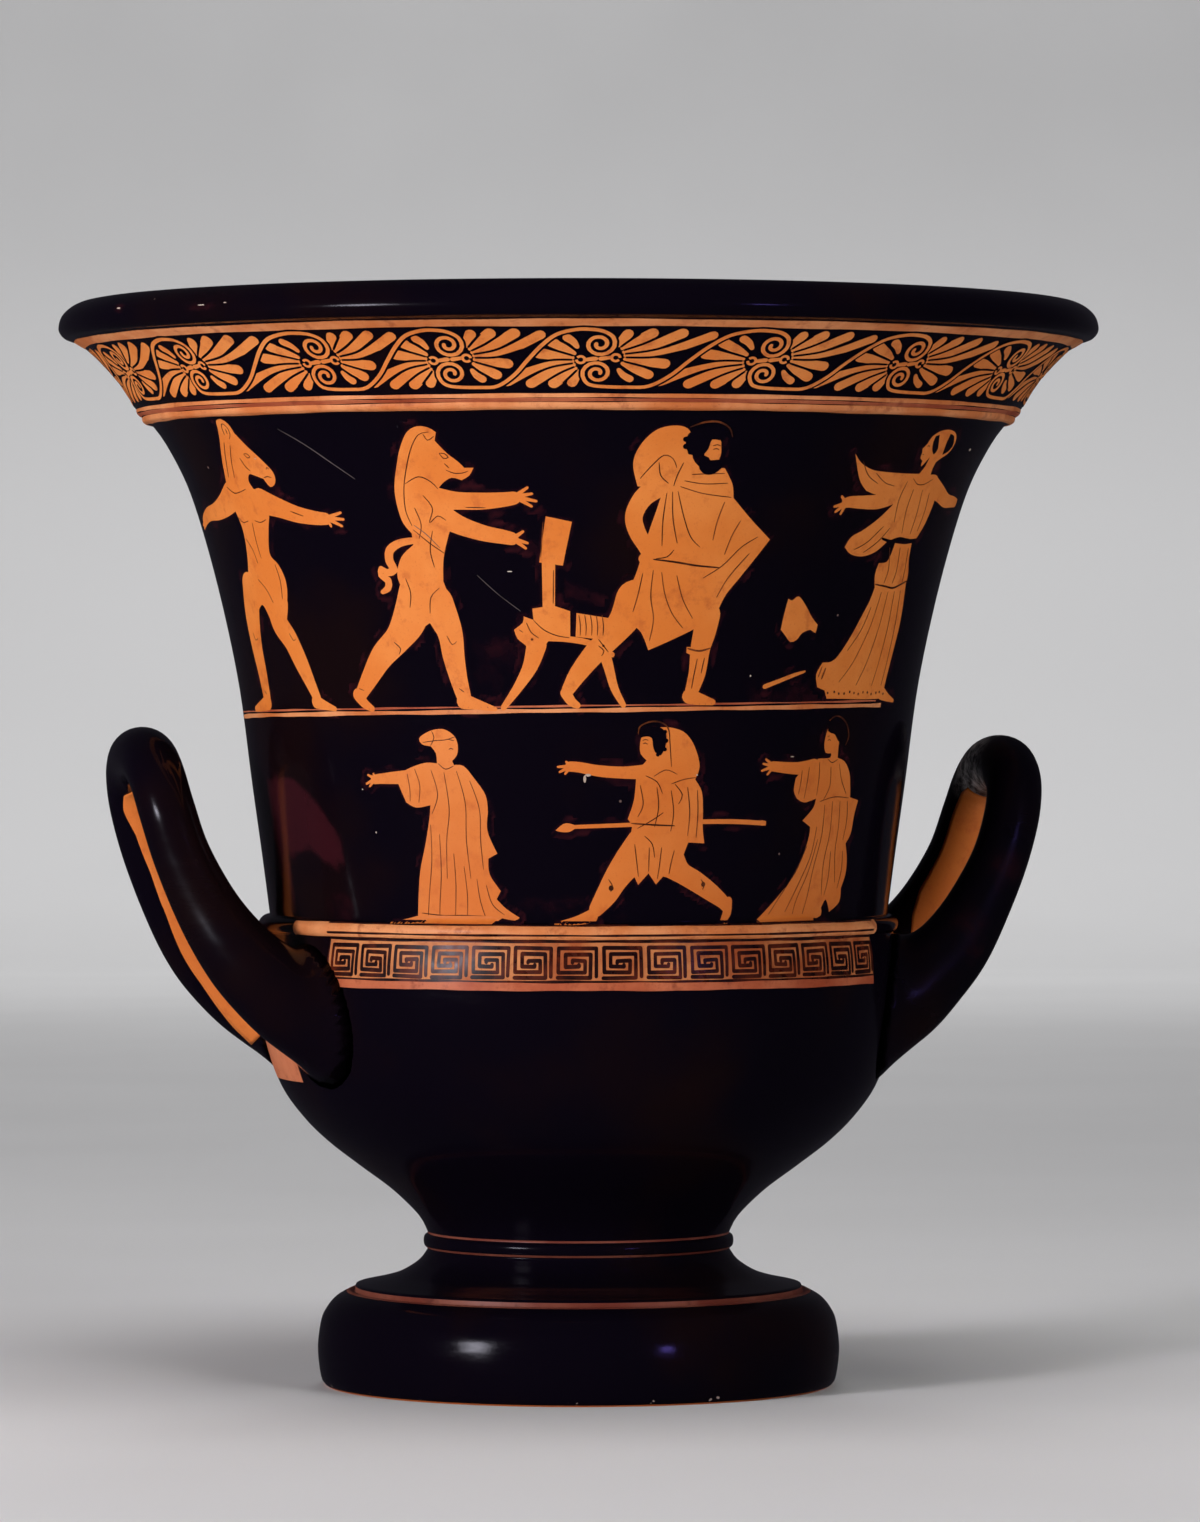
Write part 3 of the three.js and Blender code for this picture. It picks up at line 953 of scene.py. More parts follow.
def bands():
    """The plain clay bands round the mouth, and the lines and fields of the front and the back."""
    whole = (-180, 180)
    edges = [
        strip(339.3, 341.3, *whole, seed=1, size=0.12, rise=0.5),
        strip(318.0, 319.2, *whole, seed=2, size=0.12, rise=0.35),
        strip(314.4, 316.6, *whole, seed=3, size=0.14, rise=0.35),
    ]
    for middle in SIDES:
        start, end = middle + MOULDING_ANGLES[0], middle + MOULDING_ANGLES[1]
        edges.append(strip(149, 153.4, start, end, seed=4, size=0.12, rise=0.5))
    strips("band_stripes", edges, CLAY_LIFT, band_clay)
    ground_lines, low = [], [strip(316.8, 317.8, *whole, seed=2, size=0.12, rise=0.25)]
    for start, end, height in ((-96, 49.5, 218.3), (104, 250, 218.6)):
        ground_lines.append(strip(height, height + 1.25, start, end, seed=7, size=0.16, slope=GROUND_SLOPE))
        low.append(strip(height + 1.8, height + 2.3, start, end - 2, seed=9, size=0.14, slope=GROUND_SLOPE))
    strips("ground_lines", ground_lines, CLAY_LIFT, band_clay)
    fields, dark = [], []
    for middle in SIDES:
        start, end = middle + MEANDER_ANGLES[0], middle + MEANDER_ANGLES[1]
        fields.append(strip(135.8, 148.4, start, end, seed=6, size=0.16, rise=1.2))
        low.append(strip(132.9, 135.9, start, end, seed=6, size=0.16, rise=1.0))
        for lower, upper, seed, size in (
            (153.1, 153.5, 8, 0.1), (150.0, 150.6, 3, 0.1), (147.9, 148.9, 2, 0.14), (135.4, 136.1, 5, 0.16),
        ):
            dark.append(strip(lower, upper, start, end, seed, size))
    strips("meander_field", fields, CLAY_LIFT, meander_clay)
    strips("low_borders", low, CLAY_LIFT, low_band_clay)
    strips("band_dark_lines", dark, LINE_LIFT, meander_line)


PANEL_LOW, PANEL_HIGH = 101, 141.5
PANEL_HALF_ANGLE = 14


def handle_panels():
    """The wall between a handle's roots is bare clay, with a straight lower edge."""
    panels = []
    for middle in (90, -90):
        start, end = middle - PANEL_HALF_ANGLE, middle + PANEL_HALF_ANGLE
        panels.append(strip(PANEL_LOW, PANEL_HIGH, start, end, seed=1, size=0.05, rise=2.2))
    strips("handle_panels", panels, CLAY_LIFT, panel_clay)


STRIPE_LIFT = 0.42     # above the roll's facets, which a thinner layer would not clear
STRIPE_SUNK = 0.15
STRIPE_COLUMNS = 13
ROOT_IN_WALL = 2       # a stripe ends where the roll's centre line is this deep in the wall


def handle_stripes():
    """The bare stripe along the face of each handle's roll towards its loop, as a thin layer on the roll."""
    columns = STRIPE_COLUMNS
    points, faces = [], []
    for side, *own_shape in HANDLES:
        path = curve_through(handle_controls(*own_shape), HANDLE_STEP)
        heights = path[:, 2] - own_shape[0] * (path[:, 2] > 160)
        near_wall = depth_to_outside(path[:, :3])[0] < -ROOT_IN_WALL
        halves = np.arange(len(path)) < len(path) / 2
        for leg in (halves, ~halves):
            up, inner, outer = np.array(RESERVED[side]).T
            kept = np.flatnonzero(leg & ~near_wall & (heights < up[-1]))
            inner = np.interp(heights[kept], up, inner) + 1.2 * np.sin(kept * 0.3)
            outer = np.interp(heights[kept], up, outer) + 1.2 * np.sin(kept * 0.2 + 2)
            turns = np.radians(np.linspace(-inner, outer, columns, axis=1))
            for lift, flip in ((STRIPE_LIFT, 1), (-STRIPE_SUNK, -1)):
                base = sum(len(p) for p in points)
                points.append(turned_to(side, roll_points(path[kept], turns, lift)))
                for i in range(len(kept) - 1):
                    for k in range(columns - 1):
                        a = base + i * columns + k
                        faces.append((a, a + 1, a + columns + 1, a + columns)[::flip])
            top = base - len(kept) * columns
            sheet = [f for f in faces if min(f) >= top and max(f) < base]
            faces += [(b, a, a + base - top, b + base - top) for a, b in open_edges(sheet)]
    finish_piece(new_object("handle_stripes", np.vstack(points), faces, [clay]))


# One unit of the meander, MEANDER_UNIT wide: two black lines that turn in on each other, as distances from the
# unit's left side and from the top of the band.
MEANDER_UNIT = 14.6
MEANDER_HOOK = [
    (13.9, 10.4), (13.9, 1.6), (1.8, 1.6), (1.8, 9.2), (10.3, 9.2), (10.3, 5.5), (6.2, 5.5), (6.2, 6.2),
]
MEANDER_COIL = [(1.5, 10.9), (12.1, 10.9), (12.1, 3.5), (4, 3.5), (4, 7.4), (8.3, 7.4), (8.3, 6.8)]


def meander():
    """Squared spirals in black line on the clay, with small slips of the hand."""
    p = Painter()
    for middle in SIDES:
        start, end = (math.radians(middle + angle) * GIRTH_RADIUS for angle in MEANDER_ANGLES)
        count = round((end - start) / MEANDER_PITCH)
        widths = [1 + dice.uniform(-0.05, 0.05) for _ in range(count)]
        share = (end - start - 1.2) / sum(widths)
        left = start + 0.6
        for width in widths:
            pitch = width * share
            for drawn in (MEANDER_HOOK, MEANDER_COIL):
                line = []
                for x, down in drawn:
                    across = left + x / MEANDER_UNIT * pitch + dice.uniform(-0.15, 0.15)
                    line.append((across, MEANDER_HIGH - down + dice.uniform(-0.14, 0.14)))
                thick = dice.uniform(0.60, 0.68)
                for a, b in zip(line, line[1:]):
                    p.keep(capsule(a, b, thick, thick), "dark")
            left += pitch
        for edge in (start + 0.2, end - 0.3):
            p.keep(capsule((edge, MEANDER_LOW), (edge, MEANDER_HIGH), 0.35, 0.35), "dark")
    painted("meander_lines", p.layers["dark"], LINE_LIFT, meander_line, MEANDER_MESH)


# One fan of petals: where each begins, bends and ends, and its thickness near its tip, from the middle between
# the two spirals, for a band whose pairs of spirals stand WIDE_PITCH apart.
WIDE_PITCH = 43
PETALS = [
    ((4.6, 3.9), (5.4, 5.4), (6.6, 7.3), 2.6), ((5.6, 3.0), (8.4, 4.9), (12.4, 7.5), 2.8),
    ((6.1, 1.9), (12.6, 3.9), (19.6, 7.5), 2.7), ((6.5, 0.9), (16.0, 2.0), (27.2, 7.0), 2.5),
    ((6.5, -0.2), (11.4, -0.9), (16.4, -1.5), 2.9), ((5.9, -1.5), (9.2, -3.2), (12.6, -4.8), 2.8),
    ((5.0, -3.4), (6.2, -5.0), (7.9, -6.1), 2.1),
]
SPIRAL_CENTRE = (0.2, 4.3)
EYE = (4.1, 0.3)       # a ringed dot at the fan's root
# The tendril from one pair of spirals to the next: shares of the way, and heights over the band's middle.
TENDRIL = [
    (0.19, -8.55), (0.31, -8.1), (0.43, -4.8), (0.53, -0.3), (0.63, 4.0), (0.73, 7.2), (0.85, 8.6), (0.94, 8.7),
]


def spiral():
    """The upper spiral of a palmette, from its outer end in to its heart, about the palmette's middle."""
    turns, outer, inner, steps = 1.75, 3.9, 0.75, 14
    out = []
    for k in range(steps + 1):
        share = k / steps
        angle = math.radians(80) - share * turns * 2 * math.pi
        radius = outer + (inner - outer) * share
        out.append((SPIRAL_CENTRE[0] + radius * math.cos(angle), SPIRAL_CENTRE[1] + radius * math.sin(angle)))
    return out


def squeezed(x, pitch):
    """A fan is drawn narrower where its neighbour stands close."""
    start = 4.6
    return x if x < start else start + (x - start) * (pitch / 2 - start) / (WIDE_PITCH / 2 - start)


def palmette(p, before, middle, following):
    """A pair of spirals with a fan on each side, and the tendril that runs on to the next pair. The petals are
    parted by dark lines, and the tendril has a dark line on both sides."""

    def at(way, x, y):
        return middle + way * x, BAND_MIDDLE + way * y

    for way, pitch in ((1, following - middle), (-1, middle - before)):
        fan = [[at(way, squeezed(x, pitch), y) for x, y in petal[:3]] for petal in PETALS]
        for places, (*_, thick) in zip(fan, PETALS):
            size = thick * dice.uniform(0.94, 1.04)
            p.limb([(x, y, t) for (x, y), t in zip(places, (1.1, size * 0.86, size))], step=1.6)
        for one, other in zip(fan, fan[1:]):
            between = [((a[0] + b[0]) / 2, (a[1] + b[1]) / 2) for a, b in zip(one, other)]
            p.line(between, 0.62, ends=0.8)
        p.line([at(way, x, y) for x, y in disc(EYE, 1.0)], 0.7, "over", 1.0)
        p.dot(*at(way, *EYE), 1.5)
        p.limb([(*at(way, 3.1, 0.4), 0.9), (*at(way, 0.6, 0), 1.2)], "over")
    curl = spiral()
    pitch = following - middle
    tendril = [at(-1, x, y) for x, y in curl[::-1]]
    tendril += [(middle + pitch * share, BAND_MIDDLE + rise) for share, rise in TENDRIL]
    tendril += [(following + x, BAND_MIDDLE + y) for x, y in curl]
    p.limb([(x, z, 2.0) for x, z in tendril], "dark", step=2.0)
    p.limb([(x, z, 0.95) for x, z in tendril], "over", step=1.4)


def palmette_band():
    """The palmettes are set out by eye, so their spacing varies a little."""
    girth = 2 * math.pi * GIRTH_RADIUS
    front = [-131, -88, -54.5, -19.5, 21.5, 61.5, 104]
    others = PALMETTES - len(front)
    rest = (front[0] + girth - front[-1]) / (others + 1)
    middles = front + [front[-1] + rest * (k + 1) + dice.uniform(-0.8, 0.8) for k in range(others)]
    p = Painter()
    for i, middle in enumerate(middles):
        before = middles[i - 1] - (girth if i == 0 else 0)
        following = middles[i + 1] if i + 1 < len(middles) else middles[0] + girth
        palmette(p, before, middle, following)
    painted("palmette_petals", p.layers["clay"], CLAY_LIFT, ornament_clay, BAND_MESH)
    painted("palmette_partings", p.layers["dark"], LINE_LIFT, gloss, BAND_MESH)
    painted("palmette_tendrils", p.layers["over"], OVER_LIFT, ornament_clay, BAND_MESH)


# Fine old cracks in the wall, pale with dust, and small pale chips and scratches: across and up.
CRACKS = [
    [(-112.4, 309.8), (-105, 304.9), (-97.8, 299.2), (-90.8, 293.8)],
    [(-73.8, 279.2), (-70, 276.2), (-66.2, 272)], [(-55.2, 263.5), (-49, 257.6), (-42.1, 252.2)],
    [(262, 300), (275, 288), (281, 270), (290, 262)],
]
CHIPS = [
    (-45, 264.6, 0.8, 0.16), (-22, 199.6, 0.5, 1.2), (-20.9, 200.8, 1.0, 0.45), (-142.5, 348.4, 0.8, 0.25),
    (-112, 347.6, 1.0, 0.14), (-105, 348, 0.4, 0.16), (-99.6, 182.4, 0.25, 0.3), (-104, 196, 0.2, 0.25),
    (16.6, 200.8, 0.25, 0.3), (53.6, 206.4, 0.8, 0.2), (34, 232, 0.25, 0.35), (-127, 301, 0.3, 0.2),
    (118, 305, 0.5, 0.4), (241, 210, 0.8, 0.5), (-300, 250, 0.6, 0.9), (300, 345, 1.4, 0.6),
]


def cracks_and_chips():
    p = Painter()
    for crack in CRACKS:
        p.line(crack, 0.24, ends=0.3)
    painted("cracks", p.layers["dark"], LINE_LIFT, crack_dust, BAND_MESH)
    p = Painter()
    for across, up, half_width, half_height in CHIPS:
        p.keep(disc((across, up), half_width, half_height / half_width), "clay")
    painted("chips", p.layers["clay"], LINE_LIFT, chip_clay, BAND_MESH)


bands()
handle_panels()
handle_stripes()
meander()
palmette_band()
cracks_and_chips()

# ---- Figures: the front's upper frieze -----------------------------------------------------------------------
def fingers(p, hand, tips, thick=1.15):
    """Fingers from one place on a hand to their tips."""
    for tip in tips:
        knuckle = ((hand[0] + tip[0]) / 2, (hand[1] + tip[1]) / 2)
        p.limb([(*hand, thick * 1.25), (*knuckle, thick), (*tip, thick * 0.7)])


def folds(p, lines, width=0.3):
    """Dark drawn lines, such as the folds of cloth."""
    for line in lines:
        p.line(line, width)


def horse_headed_man(p):
    """Striding to the right with both arms held out; his head is a horse's."""
    p.shape([
        (-149, 290, 1), (-147.4, 295), (-144.6, 301), (-140.6, 307), (-138, 311), (-136.4, 313.2),
        (-133.6, 313.5), (-131.8, 312), (-131.4, 309, 1), (-128.6, 305), (-124.4, 300.4), (-121.4, 296.4),
        (-122, 293.2), (-124.8, 292), (-126.8, 294.6, 1), (-130, 295.6), (-133, 296.2), (-134.6, 294),
        (-133.4, 291.6, 1), (-128, 290.6, 1), (-128.6, 284.4), (-131.4, 278.2), (-133.6, 271), (-130.2, 267.4),
        (-128.2, 262.4), (-129.2, 256.6), (-132.8, 250.4, 1), (-141.4, 250, 1), (-144.6, 254.8),
        (-149, 252.6, 1), (-156.6, 250, 1), (-153, 258.6), (-149.4, 266), (-147.2, 272), (-146.2, 279),
        (-148, 285.6, 1),
    ])
    p.limb([
        (-147, 289.6, 9), (-154, 286.9, 7.2), (-162, 285.1, 5.6), (-171, 284.4, 4.4), (-178, 283, 3.6),
        (-182, 281.8, 3),
    ])
    fingers(p, (-181.5, 281.8), [(-186, 281.2), (-185.4, 280)])
    p.limb([
        (-131, 287.6, 8.4), (-124, 285.6, 6.6), (-116, 283.2, 5.4), (-108.5, 281.9, 4.4), (-104.4, 281.6, 3.8),
    ])
    fingers(p, (-104.2, 281.8), [(-98.4, 283.4), (-97.8, 281.3), (-98.8, 279.2), (-103, 279.2)])
    p.limb([(-151, 260, 11), (-154.4, 251, 10.4), (-155.6, 242, 8.6), (-154.9, 233, 7), (-154.3, 225.4, 5.8)])
    p.limb([(-153.8, 223.6, 5.2), (-159, 222.6, 3.8), (-167, 221.4, 1.7)])
    p.limb([
        (-135.6, 256, 12.4), (-136.4, 249.4, 9.6), (-131.8, 243.6, 8.2), (-128, 236.6, 7.2), (-124.2, 229.4, 5),
        (-121.8, 224.8, 3.8),
    ])
    p.limb([(-122.6, 223.8, 4.4), (-118, 222.6, 2.9), (-113.4, 221.5, 1.5)])
    folds(p, [
        [(-136.4, 308.6), (-135.8, 311), (-134.4, 312.2), (-133.2, 311), (-133.6, 308.8), (-135.2, 307.4)],
        [(-134.8, 309), (-134.4, 310.6)], [(-138.8, 306.4), (-142, 301.6), (-145, 295.6)],
        [(-136.4, 305.4), (-139.6, 300.4), (-141.6, 295.4)],
        [(-131.6, 302.6), (-130.2, 302.6), (-129.2, 301.7), (-130.6, 301.3), (-131.6, 302.6)],
        [(-131.8, 297.2), (-133.4, 298.8), (-134.4, 301.4)],
        [(-126.4, 294.9), (-124.6, 295.3), (-122.9, 294.9)], [(-124, 297.5), (-123.4, 298.1), (-122.7, 297.6)],
        [(-148.4, 292.6), (-145, 290.6), (-141.2, 290.8), (-137.6, 291.6)],
        [(-147.2, 283), (-144.6, 281.2), (-141.2, 281.6)], [(-137.4, 281.6), (-134.4, 281), (-131.2, 281.8)],
        [(-139.2, 281), (-139.6, 275), (-139, 269.6)], [(-145.6, 276), (-143, 272.4), (-141.8, 268)],
        [(-144, 263), (-140, 259.6), (-137.6, 255.4)], [(-132, 267.6), (-131, 262.4), (-131.8, 256.6)],
        [(-156.4, 246), (-155.2, 243.6), (-153.2, 244.2)], [(-131.6, 245.6), (-130, 243.4), (-128.6, 243.8)],
        [(-118.6, 284.2), (-113.4, 282.6)], [(-155.4, 227.4), (-154, 226.2)],
    ])


def boar_headed_man(p):
    """Running to the right, his arms stretched out; he has a boar's head, a crest down his back and a tail."""
    p.shape([
        (-78.4, 290), (-75.8, 299), (-73.2, 304.6), (-70.6, 308.2), (-67.4, 309.7), (-64.4, 309.2),
        (-62.6, 307.8, 1), (-63.4, 305.2, 1), (-60.6, 301.4), (-57.6, 298.6), (-56.2, 296.8, 1),
        (-53.5, 296.8, 1), (-55, 294.4), (-57.4, 293, 1), (-60.2, 293.8), (-62.8, 292.4), (-64.4, 290.8, 1),
        (-61, 287.6, 1), (-60.6, 281.6, 1), (-63.2, 275.6), (-65.4, 268.6), (-66.2, 261.6, 1), (-63.2, 252),
        (-62, 245, 1), (-69, 243.6, 1), (-72, 248.6, 1), (-77, 246), (-84, 244.6, 1), (-81.2, 250),
        (-80.4, 258), (-81.5, 263.8), (-79.2, 269.4), (-74.8, 273, 1), (-74.8, 276.6, 1), (-77.6, 281),
    ])
    p.limb([(-67, 287.6, 7.4), (-60, 286.7, 5.6), (-52, 286.5, 5.2), (-45, 287, 4.4), (-42.6, 287.4, 4)])
    fingers(p, (-42.4, 287.8), [(-38.6, 290.6), (-37.4, 288.7), (-36.2, 286.4), (-37.6, 284.8)])
    p.limb([(-66, 283, 7.6), (-59.6, 279.2, 6), (-52.4, 276.6, 5), (-46, 275.3, 4.4), (-43.8, 274.8, 4)])
    fingers(p, (-43.6, 274.8), [(-40.4, 277), (-39.2, 273.4), (-39.8, 271.8), (-41.4, 276.4)])
    p.limb([
        (-75.6, 258, 12), (-79, 250, 11.6), (-84, 243.8, 9), (-91, 238, 8), (-97, 231, 6.2),
        (-101.4, 225.8, 4.4),
    ])
    p.limb([(-102.4, 226, 4.2), (-99.8, 223.2, 3.2), (-96.8, 221.6, 1.9)])
    p.limb([(-69, 255, 11), (-65.6, 246, 8.6), (-64.8, 238, 7.4), (-63.6, 231, 6), (-62.2, 225.6, 5)])
    p.limb([(-62.2, 224, 5), (-57.4, 222.9, 3.2), (-51.6, 221.5, 1.4)])
    tail = [
        (-74.6, 274.4, 2), (-79.4, 273.6, 2.4), (-83, 271.4, 2.8), (-83.6, 268, 2.9), (-82.4, 265.4, 2.6),
        (-85, 264.4, 2.2),
    ]
    p.limb(tail + [
        (-87, 265.8, 1.6), (-87.4, 263.6, 1.8), (-85, 262, 2.4), (-85.4, 259.6, 2.2), (-87.6, 258.4, 1.4),
    ])
    folds(p, [
        [(-64.6, 307.9), (-67.6, 307.2), (-70.4, 303.6), (-73, 298), (-75.2, 291), (-75.8, 284), (-74.4, 279)],
        [(-63.4, 306.6), (-65.4, 305.4), (-66.4, 307.4)],
        [(-62.8, 301.4), (-61.2, 301.2), (-60.4, 300.1), (-61.8, 299.8), (-62.8, 301.4)],
        [(-61.6, 296.2), (-59.4, 295.2), (-57, 295.2), (-55.2, 295.8)], [(-60.6, 296.8), (-61.8, 298.2)],
        [(-74.8, 292), (-70.2, 294.2), (-66.6, 292.6), (-64.8, 290.4)],
        [(-69.6, 288.4), (-67.2, 284.4), (-68.6, 280), (-65.8, 282), (-63.4, 280.6)],
        [(-72.8, 284.6), (-71.4, 279.4), (-72.6, 275)], [(-68, 277.4), (-69.4, 271.4), (-68.6, 266)],
        [(-74.2, 277.8), (-69.4, 273.6), (-65, 270.4)], [(-67.6, 259.6), (-70.8, 256.6), (-71.6, 251.6)],
        [(-78.8, 262.6), (-77.6, 258), (-78.4, 253.4)], [(-85.6, 242.6), (-83.4, 240.6), (-84.2, 238.8)],
        [(-66.6, 244.6), (-65, 241.8), (-63.4, 242.8)], [(-101.6, 228), (-99.6, 227.4)],
        [(-63.6, 228), (-62, 226.9)], [(-57, 284.6), (-51, 284.4)],
    ])


def chair(p):
    """A light chair with a tall back post, pushed over on to its back legs."""
    p.shape([(-33.6, 281.7, 1), (-26, 280, 1), (-28.8, 266.4, 1), (-35.9, 267.4, 1)])
    p.shape([(-35.1, 267.6, 1), (-31.1, 267, 1), (-31.4, 252.4, 1), (-35.2, 252, 1)])
    p.shape([
        (-38.4, 253, 1), (-32, 254, 1), (-26.7, 252.2, 1), (-26.7, 243.4, 1), (-33.4, 243, 1), (-38, 247.4, 1),
    ])
    p.shape([(-24.7, 251.6, 1), (-14.4, 250, 1), (-15.6, 243.2, 1), (-25, 244.2, 1)])
    p.limb([(-34, 243.6, 1.5), (-27, 243.4, 1.9), (-20, 242, 1.9), (-13.4, 238.6, 1.7)])
    p.shape([
        (-38.6, 249.6, 1), (-41.2, 250.6, 1), (-41.6, 248.6), (-44.4, 246.4, 1), (-43.4, 243.6), (-41, 241.6),
        (-38.4, 238.6, 1), (-36, 240), (-33, 243.6, 1), (-35.6, 248.6),
    ])
    p.limb([(-37.4, 241.6, 6.4), (-39.6, 235, 4.8), (-43.6, 228.6, 3.2), (-48.8, 222, 1.9)])
    p.limb([(-16.4, 241, 4), (-14.4, 234.6, 3.2), (-12.4, 228, 2.6), (-9.4, 222.8, 1.8)])
    p.shape([(-19.2, 244.6, 1), (-13.4, 244.4, 1), (-13.8, 238, 1), (-19, 238.6, 1)])
    for across in (-24, -22.2, -20.4, -18.6, -16.8):
        p.line([(across, 251), (across + 0.5, 247.6), (across + 0.4, 244.6)], 0.28)
    folds(p, [
        [(-38.2, 249.4), (-35, 246.4), (-31, 244.6), (-27, 243.9)], [(-42.8, 246.4), (-41.6, 245.6)],
        [(-40.4, 248.6), (-39, 245.6), (-36.6, 243.8)], [(-17.8, 243.4), (-14.6, 239.4)],
        [(-31.6, 265), (-31.9, 254.6)], [(-34.4, 280), (-35.4, 269)],
    ])
    p.dot(-38.8, 243.4, 0.42)
    p.dot(-16.2, 241.4, 0.4)


def curls(p, around, size=0.95):
    """Black curls along a hairline."""
    for across, up in around:
        p.dot(across, up, size * dice.uniform(0.85, 1.15), "over")


def striding_traveller(p):
    """A bearded man in a cloak that spreads to a point before him, with a round hat hung at his shoulders."""
    p.shape([
        (-7.4, 291, 1), (-9, 298), (-7.4, 303.6), (-3.6, 308.2), (1, 309.7), (5, 308.8), (7, 305), (7.6, 299.8),
        (10, 297, 1), (17.4, 296.8, 1), (20.4, 292), (21.4, 287.6, 1), (28, 281), (35.2, 274.8, 1), (32, 270.2),
        (27, 263.4), (22.6, 257.6), (20.2, 252.4, 1), (14, 247.4), (6, 243.4), (-1.8, 240, 1), (-4.4, 245.6),
        (-8.4, 249, 1), (-10.4, 256), (-7.2, 262.4), (-5.6, 267.6, 1), (-3.6, 276), (-1.4, 284), (0, 289.6, 1),
        (-3.6, 290.6),
    ])
    p.limb([
        (-1.4, 291, 6.8), (-5.6, 287.4, 5.8), (-8, 282, 5.2), (-6.9, 277, 5), (-4, 272.2, 4.6),
        (-2.4, 269, 4.2),
    ])
    p.limb([(-4.4, 268.6, 3.4), (-2, 268, 3.8), (0.4, 268.4, 2.8)])
    p.limb([
        (-6.6, 256, 12), (-9.8, 249.6, 9.4), (-14.4, 243.8, 7.6), (-19.4, 238.6, 6.8), (-24.4, 232.4, 5.6),
        (-27.6, 227.4, 4),
    ])
    p.limb([(-28.2, 226.6, 3.6), (-26.4, 223.9, 3), (-24.4, 222.7, 2)])
    p.limb([(17, 251, 8.4), (16.4, 245.6, 7.6), (15.4, 240.4, 6.6), (14.9, 233, 5.8), (13.4, 227.4, 4.6)])
    p.limb([(12.6, 225.6, 4.8), (16, 224.7, 3.8), (21, 223.7, 1.9)])
    p.shape([
        (10.8, 239.2, 1), (13, 238.2, 1), (14.6, 239, 1), (16.6, 238, 1), (18.6, 239.2, 1), (18.6, 241, 1),
        (10.8, 241, 1),
    ])
    p.shape([
        (11.4, 305.8), (14.4, 305.8), (15.2, 303.4), (15.5, 300.6), (14.2, 297.2), (11.6, 297.4), (10.8, 301),
    ])
    p.shape([
        (5, 304.4, 1), (5.4, 307.2), (8, 308.9), (12, 309.4), (15.2, 308.3), (16, 306.2, 1), (14.4, 305.4),
        (12.2, 305.6), (11.6, 302.8), (10.4, 301), (8.4, 300.4), (6, 301.6),
    ], "over")
    p.shape([
        (10.4, 300.8, 1), (12.2, 300, 1), (12.8, 299.2), (14.8, 299.4), (16.2, 299.2), (16.6, 297.4),
        (14.6, 295.2), (12, 294.8), (10, 296.4), (9.6, 298.8),
    ], "over")
    p.line([(5.6, 309.3), (9.3, 310.8), (13.3, 310.9), (16.6, 309), (17.9, 306.4)], 0.5)
    curls(p, [
        (4.9, 305.6), (5.2, 303.4), (6.6, 301.6), (8.6, 300.4), (7, 308.6), (10, 309.4), (13, 309.5),
        (15.6, 307.7),
    ], 0.8)
    folds(p, [
        [(13, 302.5), (14, 302.8), (14.8, 302.4)], [(12.8, 303.6), (14, 304), (15, 303.6)],
        [(8.4, 303.6), (9.4, 302.6), (9, 301.6)],
    ], 0.26)
    folds(p, [
        [(-6.8, 293.4), (-3.6, 297.6), (-0.6, 300.6), (2, 299.6), (3.4, 296.8)],
        [(-1.8, 298.4), (-1, 294.4), (1.4, 292)], [(5.2, 298.4), (3.8, 294.6), (3, 291.2)],
        [(8, 294.8), (12, 295), (17.6, 295.2)], [(6, 292.8), (12, 291.9), (19, 292.2)],
        [(5, 291), (12, 288.9), (20.6, 287.8)], [(4.4, 289.6), (6.8, 281.6), (9.4, 275.4), (12.6, 272.2)],
        [(2.8, 289.4), (3.6, 281), (5.4, 273.4)], [(1.2, 289), (0.6, 280.4), (0.8, 272.6)],
        [(18.8, 286.4), (17.2, 280.4), (16.4, 274.4)], [(31, 275.6), (26, 272.4), (20.4, 266.6), (14.4, 262.6)],
        [(28.8, 270.4), (22.8, 263), (19.4, 256.6)], [(24.6, 280.6), (22.4, 276), (20.6, 270)],
        [(1.2, 264.4), (2.6, 257.6), (5.2, 251.6), (9, 247)],
        [(-1.4, 265), (-1.8, 257), (-0.6, 249.6), (-1.6, 243)], [(6, 263.4), (8.4, 256), (12, 250)],
        [(-4.6, 264), (-5.8, 257.4), (-7.2, 252)], [(-0.8, 268.6), (2.6, 269.2), (4.6, 271.4)],
        [(-17.8, 241.4), (-16, 239.8), (-16.8, 238.2)], [(14.6, 237.4), (13.8, 232.4), (13.2, 228)],
        [(17, 237.6), (16.2, 232.8)],
    ])
    p.line([(-1.6, 268.4), (5, 267.6), (12, 266.5), (19.4, 265.9)], 0.62)
    p.line([(11, 240.6), (15, 239.8), (18.8, 240.7)], 0.6)
    p.line([(3.4, 291.2), (4.4, 290.2), (5.2, 291.4), (4.2, 292.4), (3.4, 291.2)], 0.5)


def falling_cup(p):
    """A broad cup that tumbles between the figures, with a rod on the ground below it."""
    p.shape([
        (45, 256.3, 1), (46.6, 255.8), (48.9, 257.1), (52.2, 254.2), (55.4, 250.6), (58.3, 248.2, 1),
        (57.8, 245.6), (55.6, 246.6), (52.4, 245.6), (50.4, 243.4), (48, 242.7), (46, 244.4, 1),
        (43.6, 246.6, 1), (44, 250), (44.4, 253),
    ])
    p.limb([(39.8, 228.6, 1.5), (46, 230.6, 1.3), (51, 232.2, 1.2), (55.6, 233.4, 0.7)])


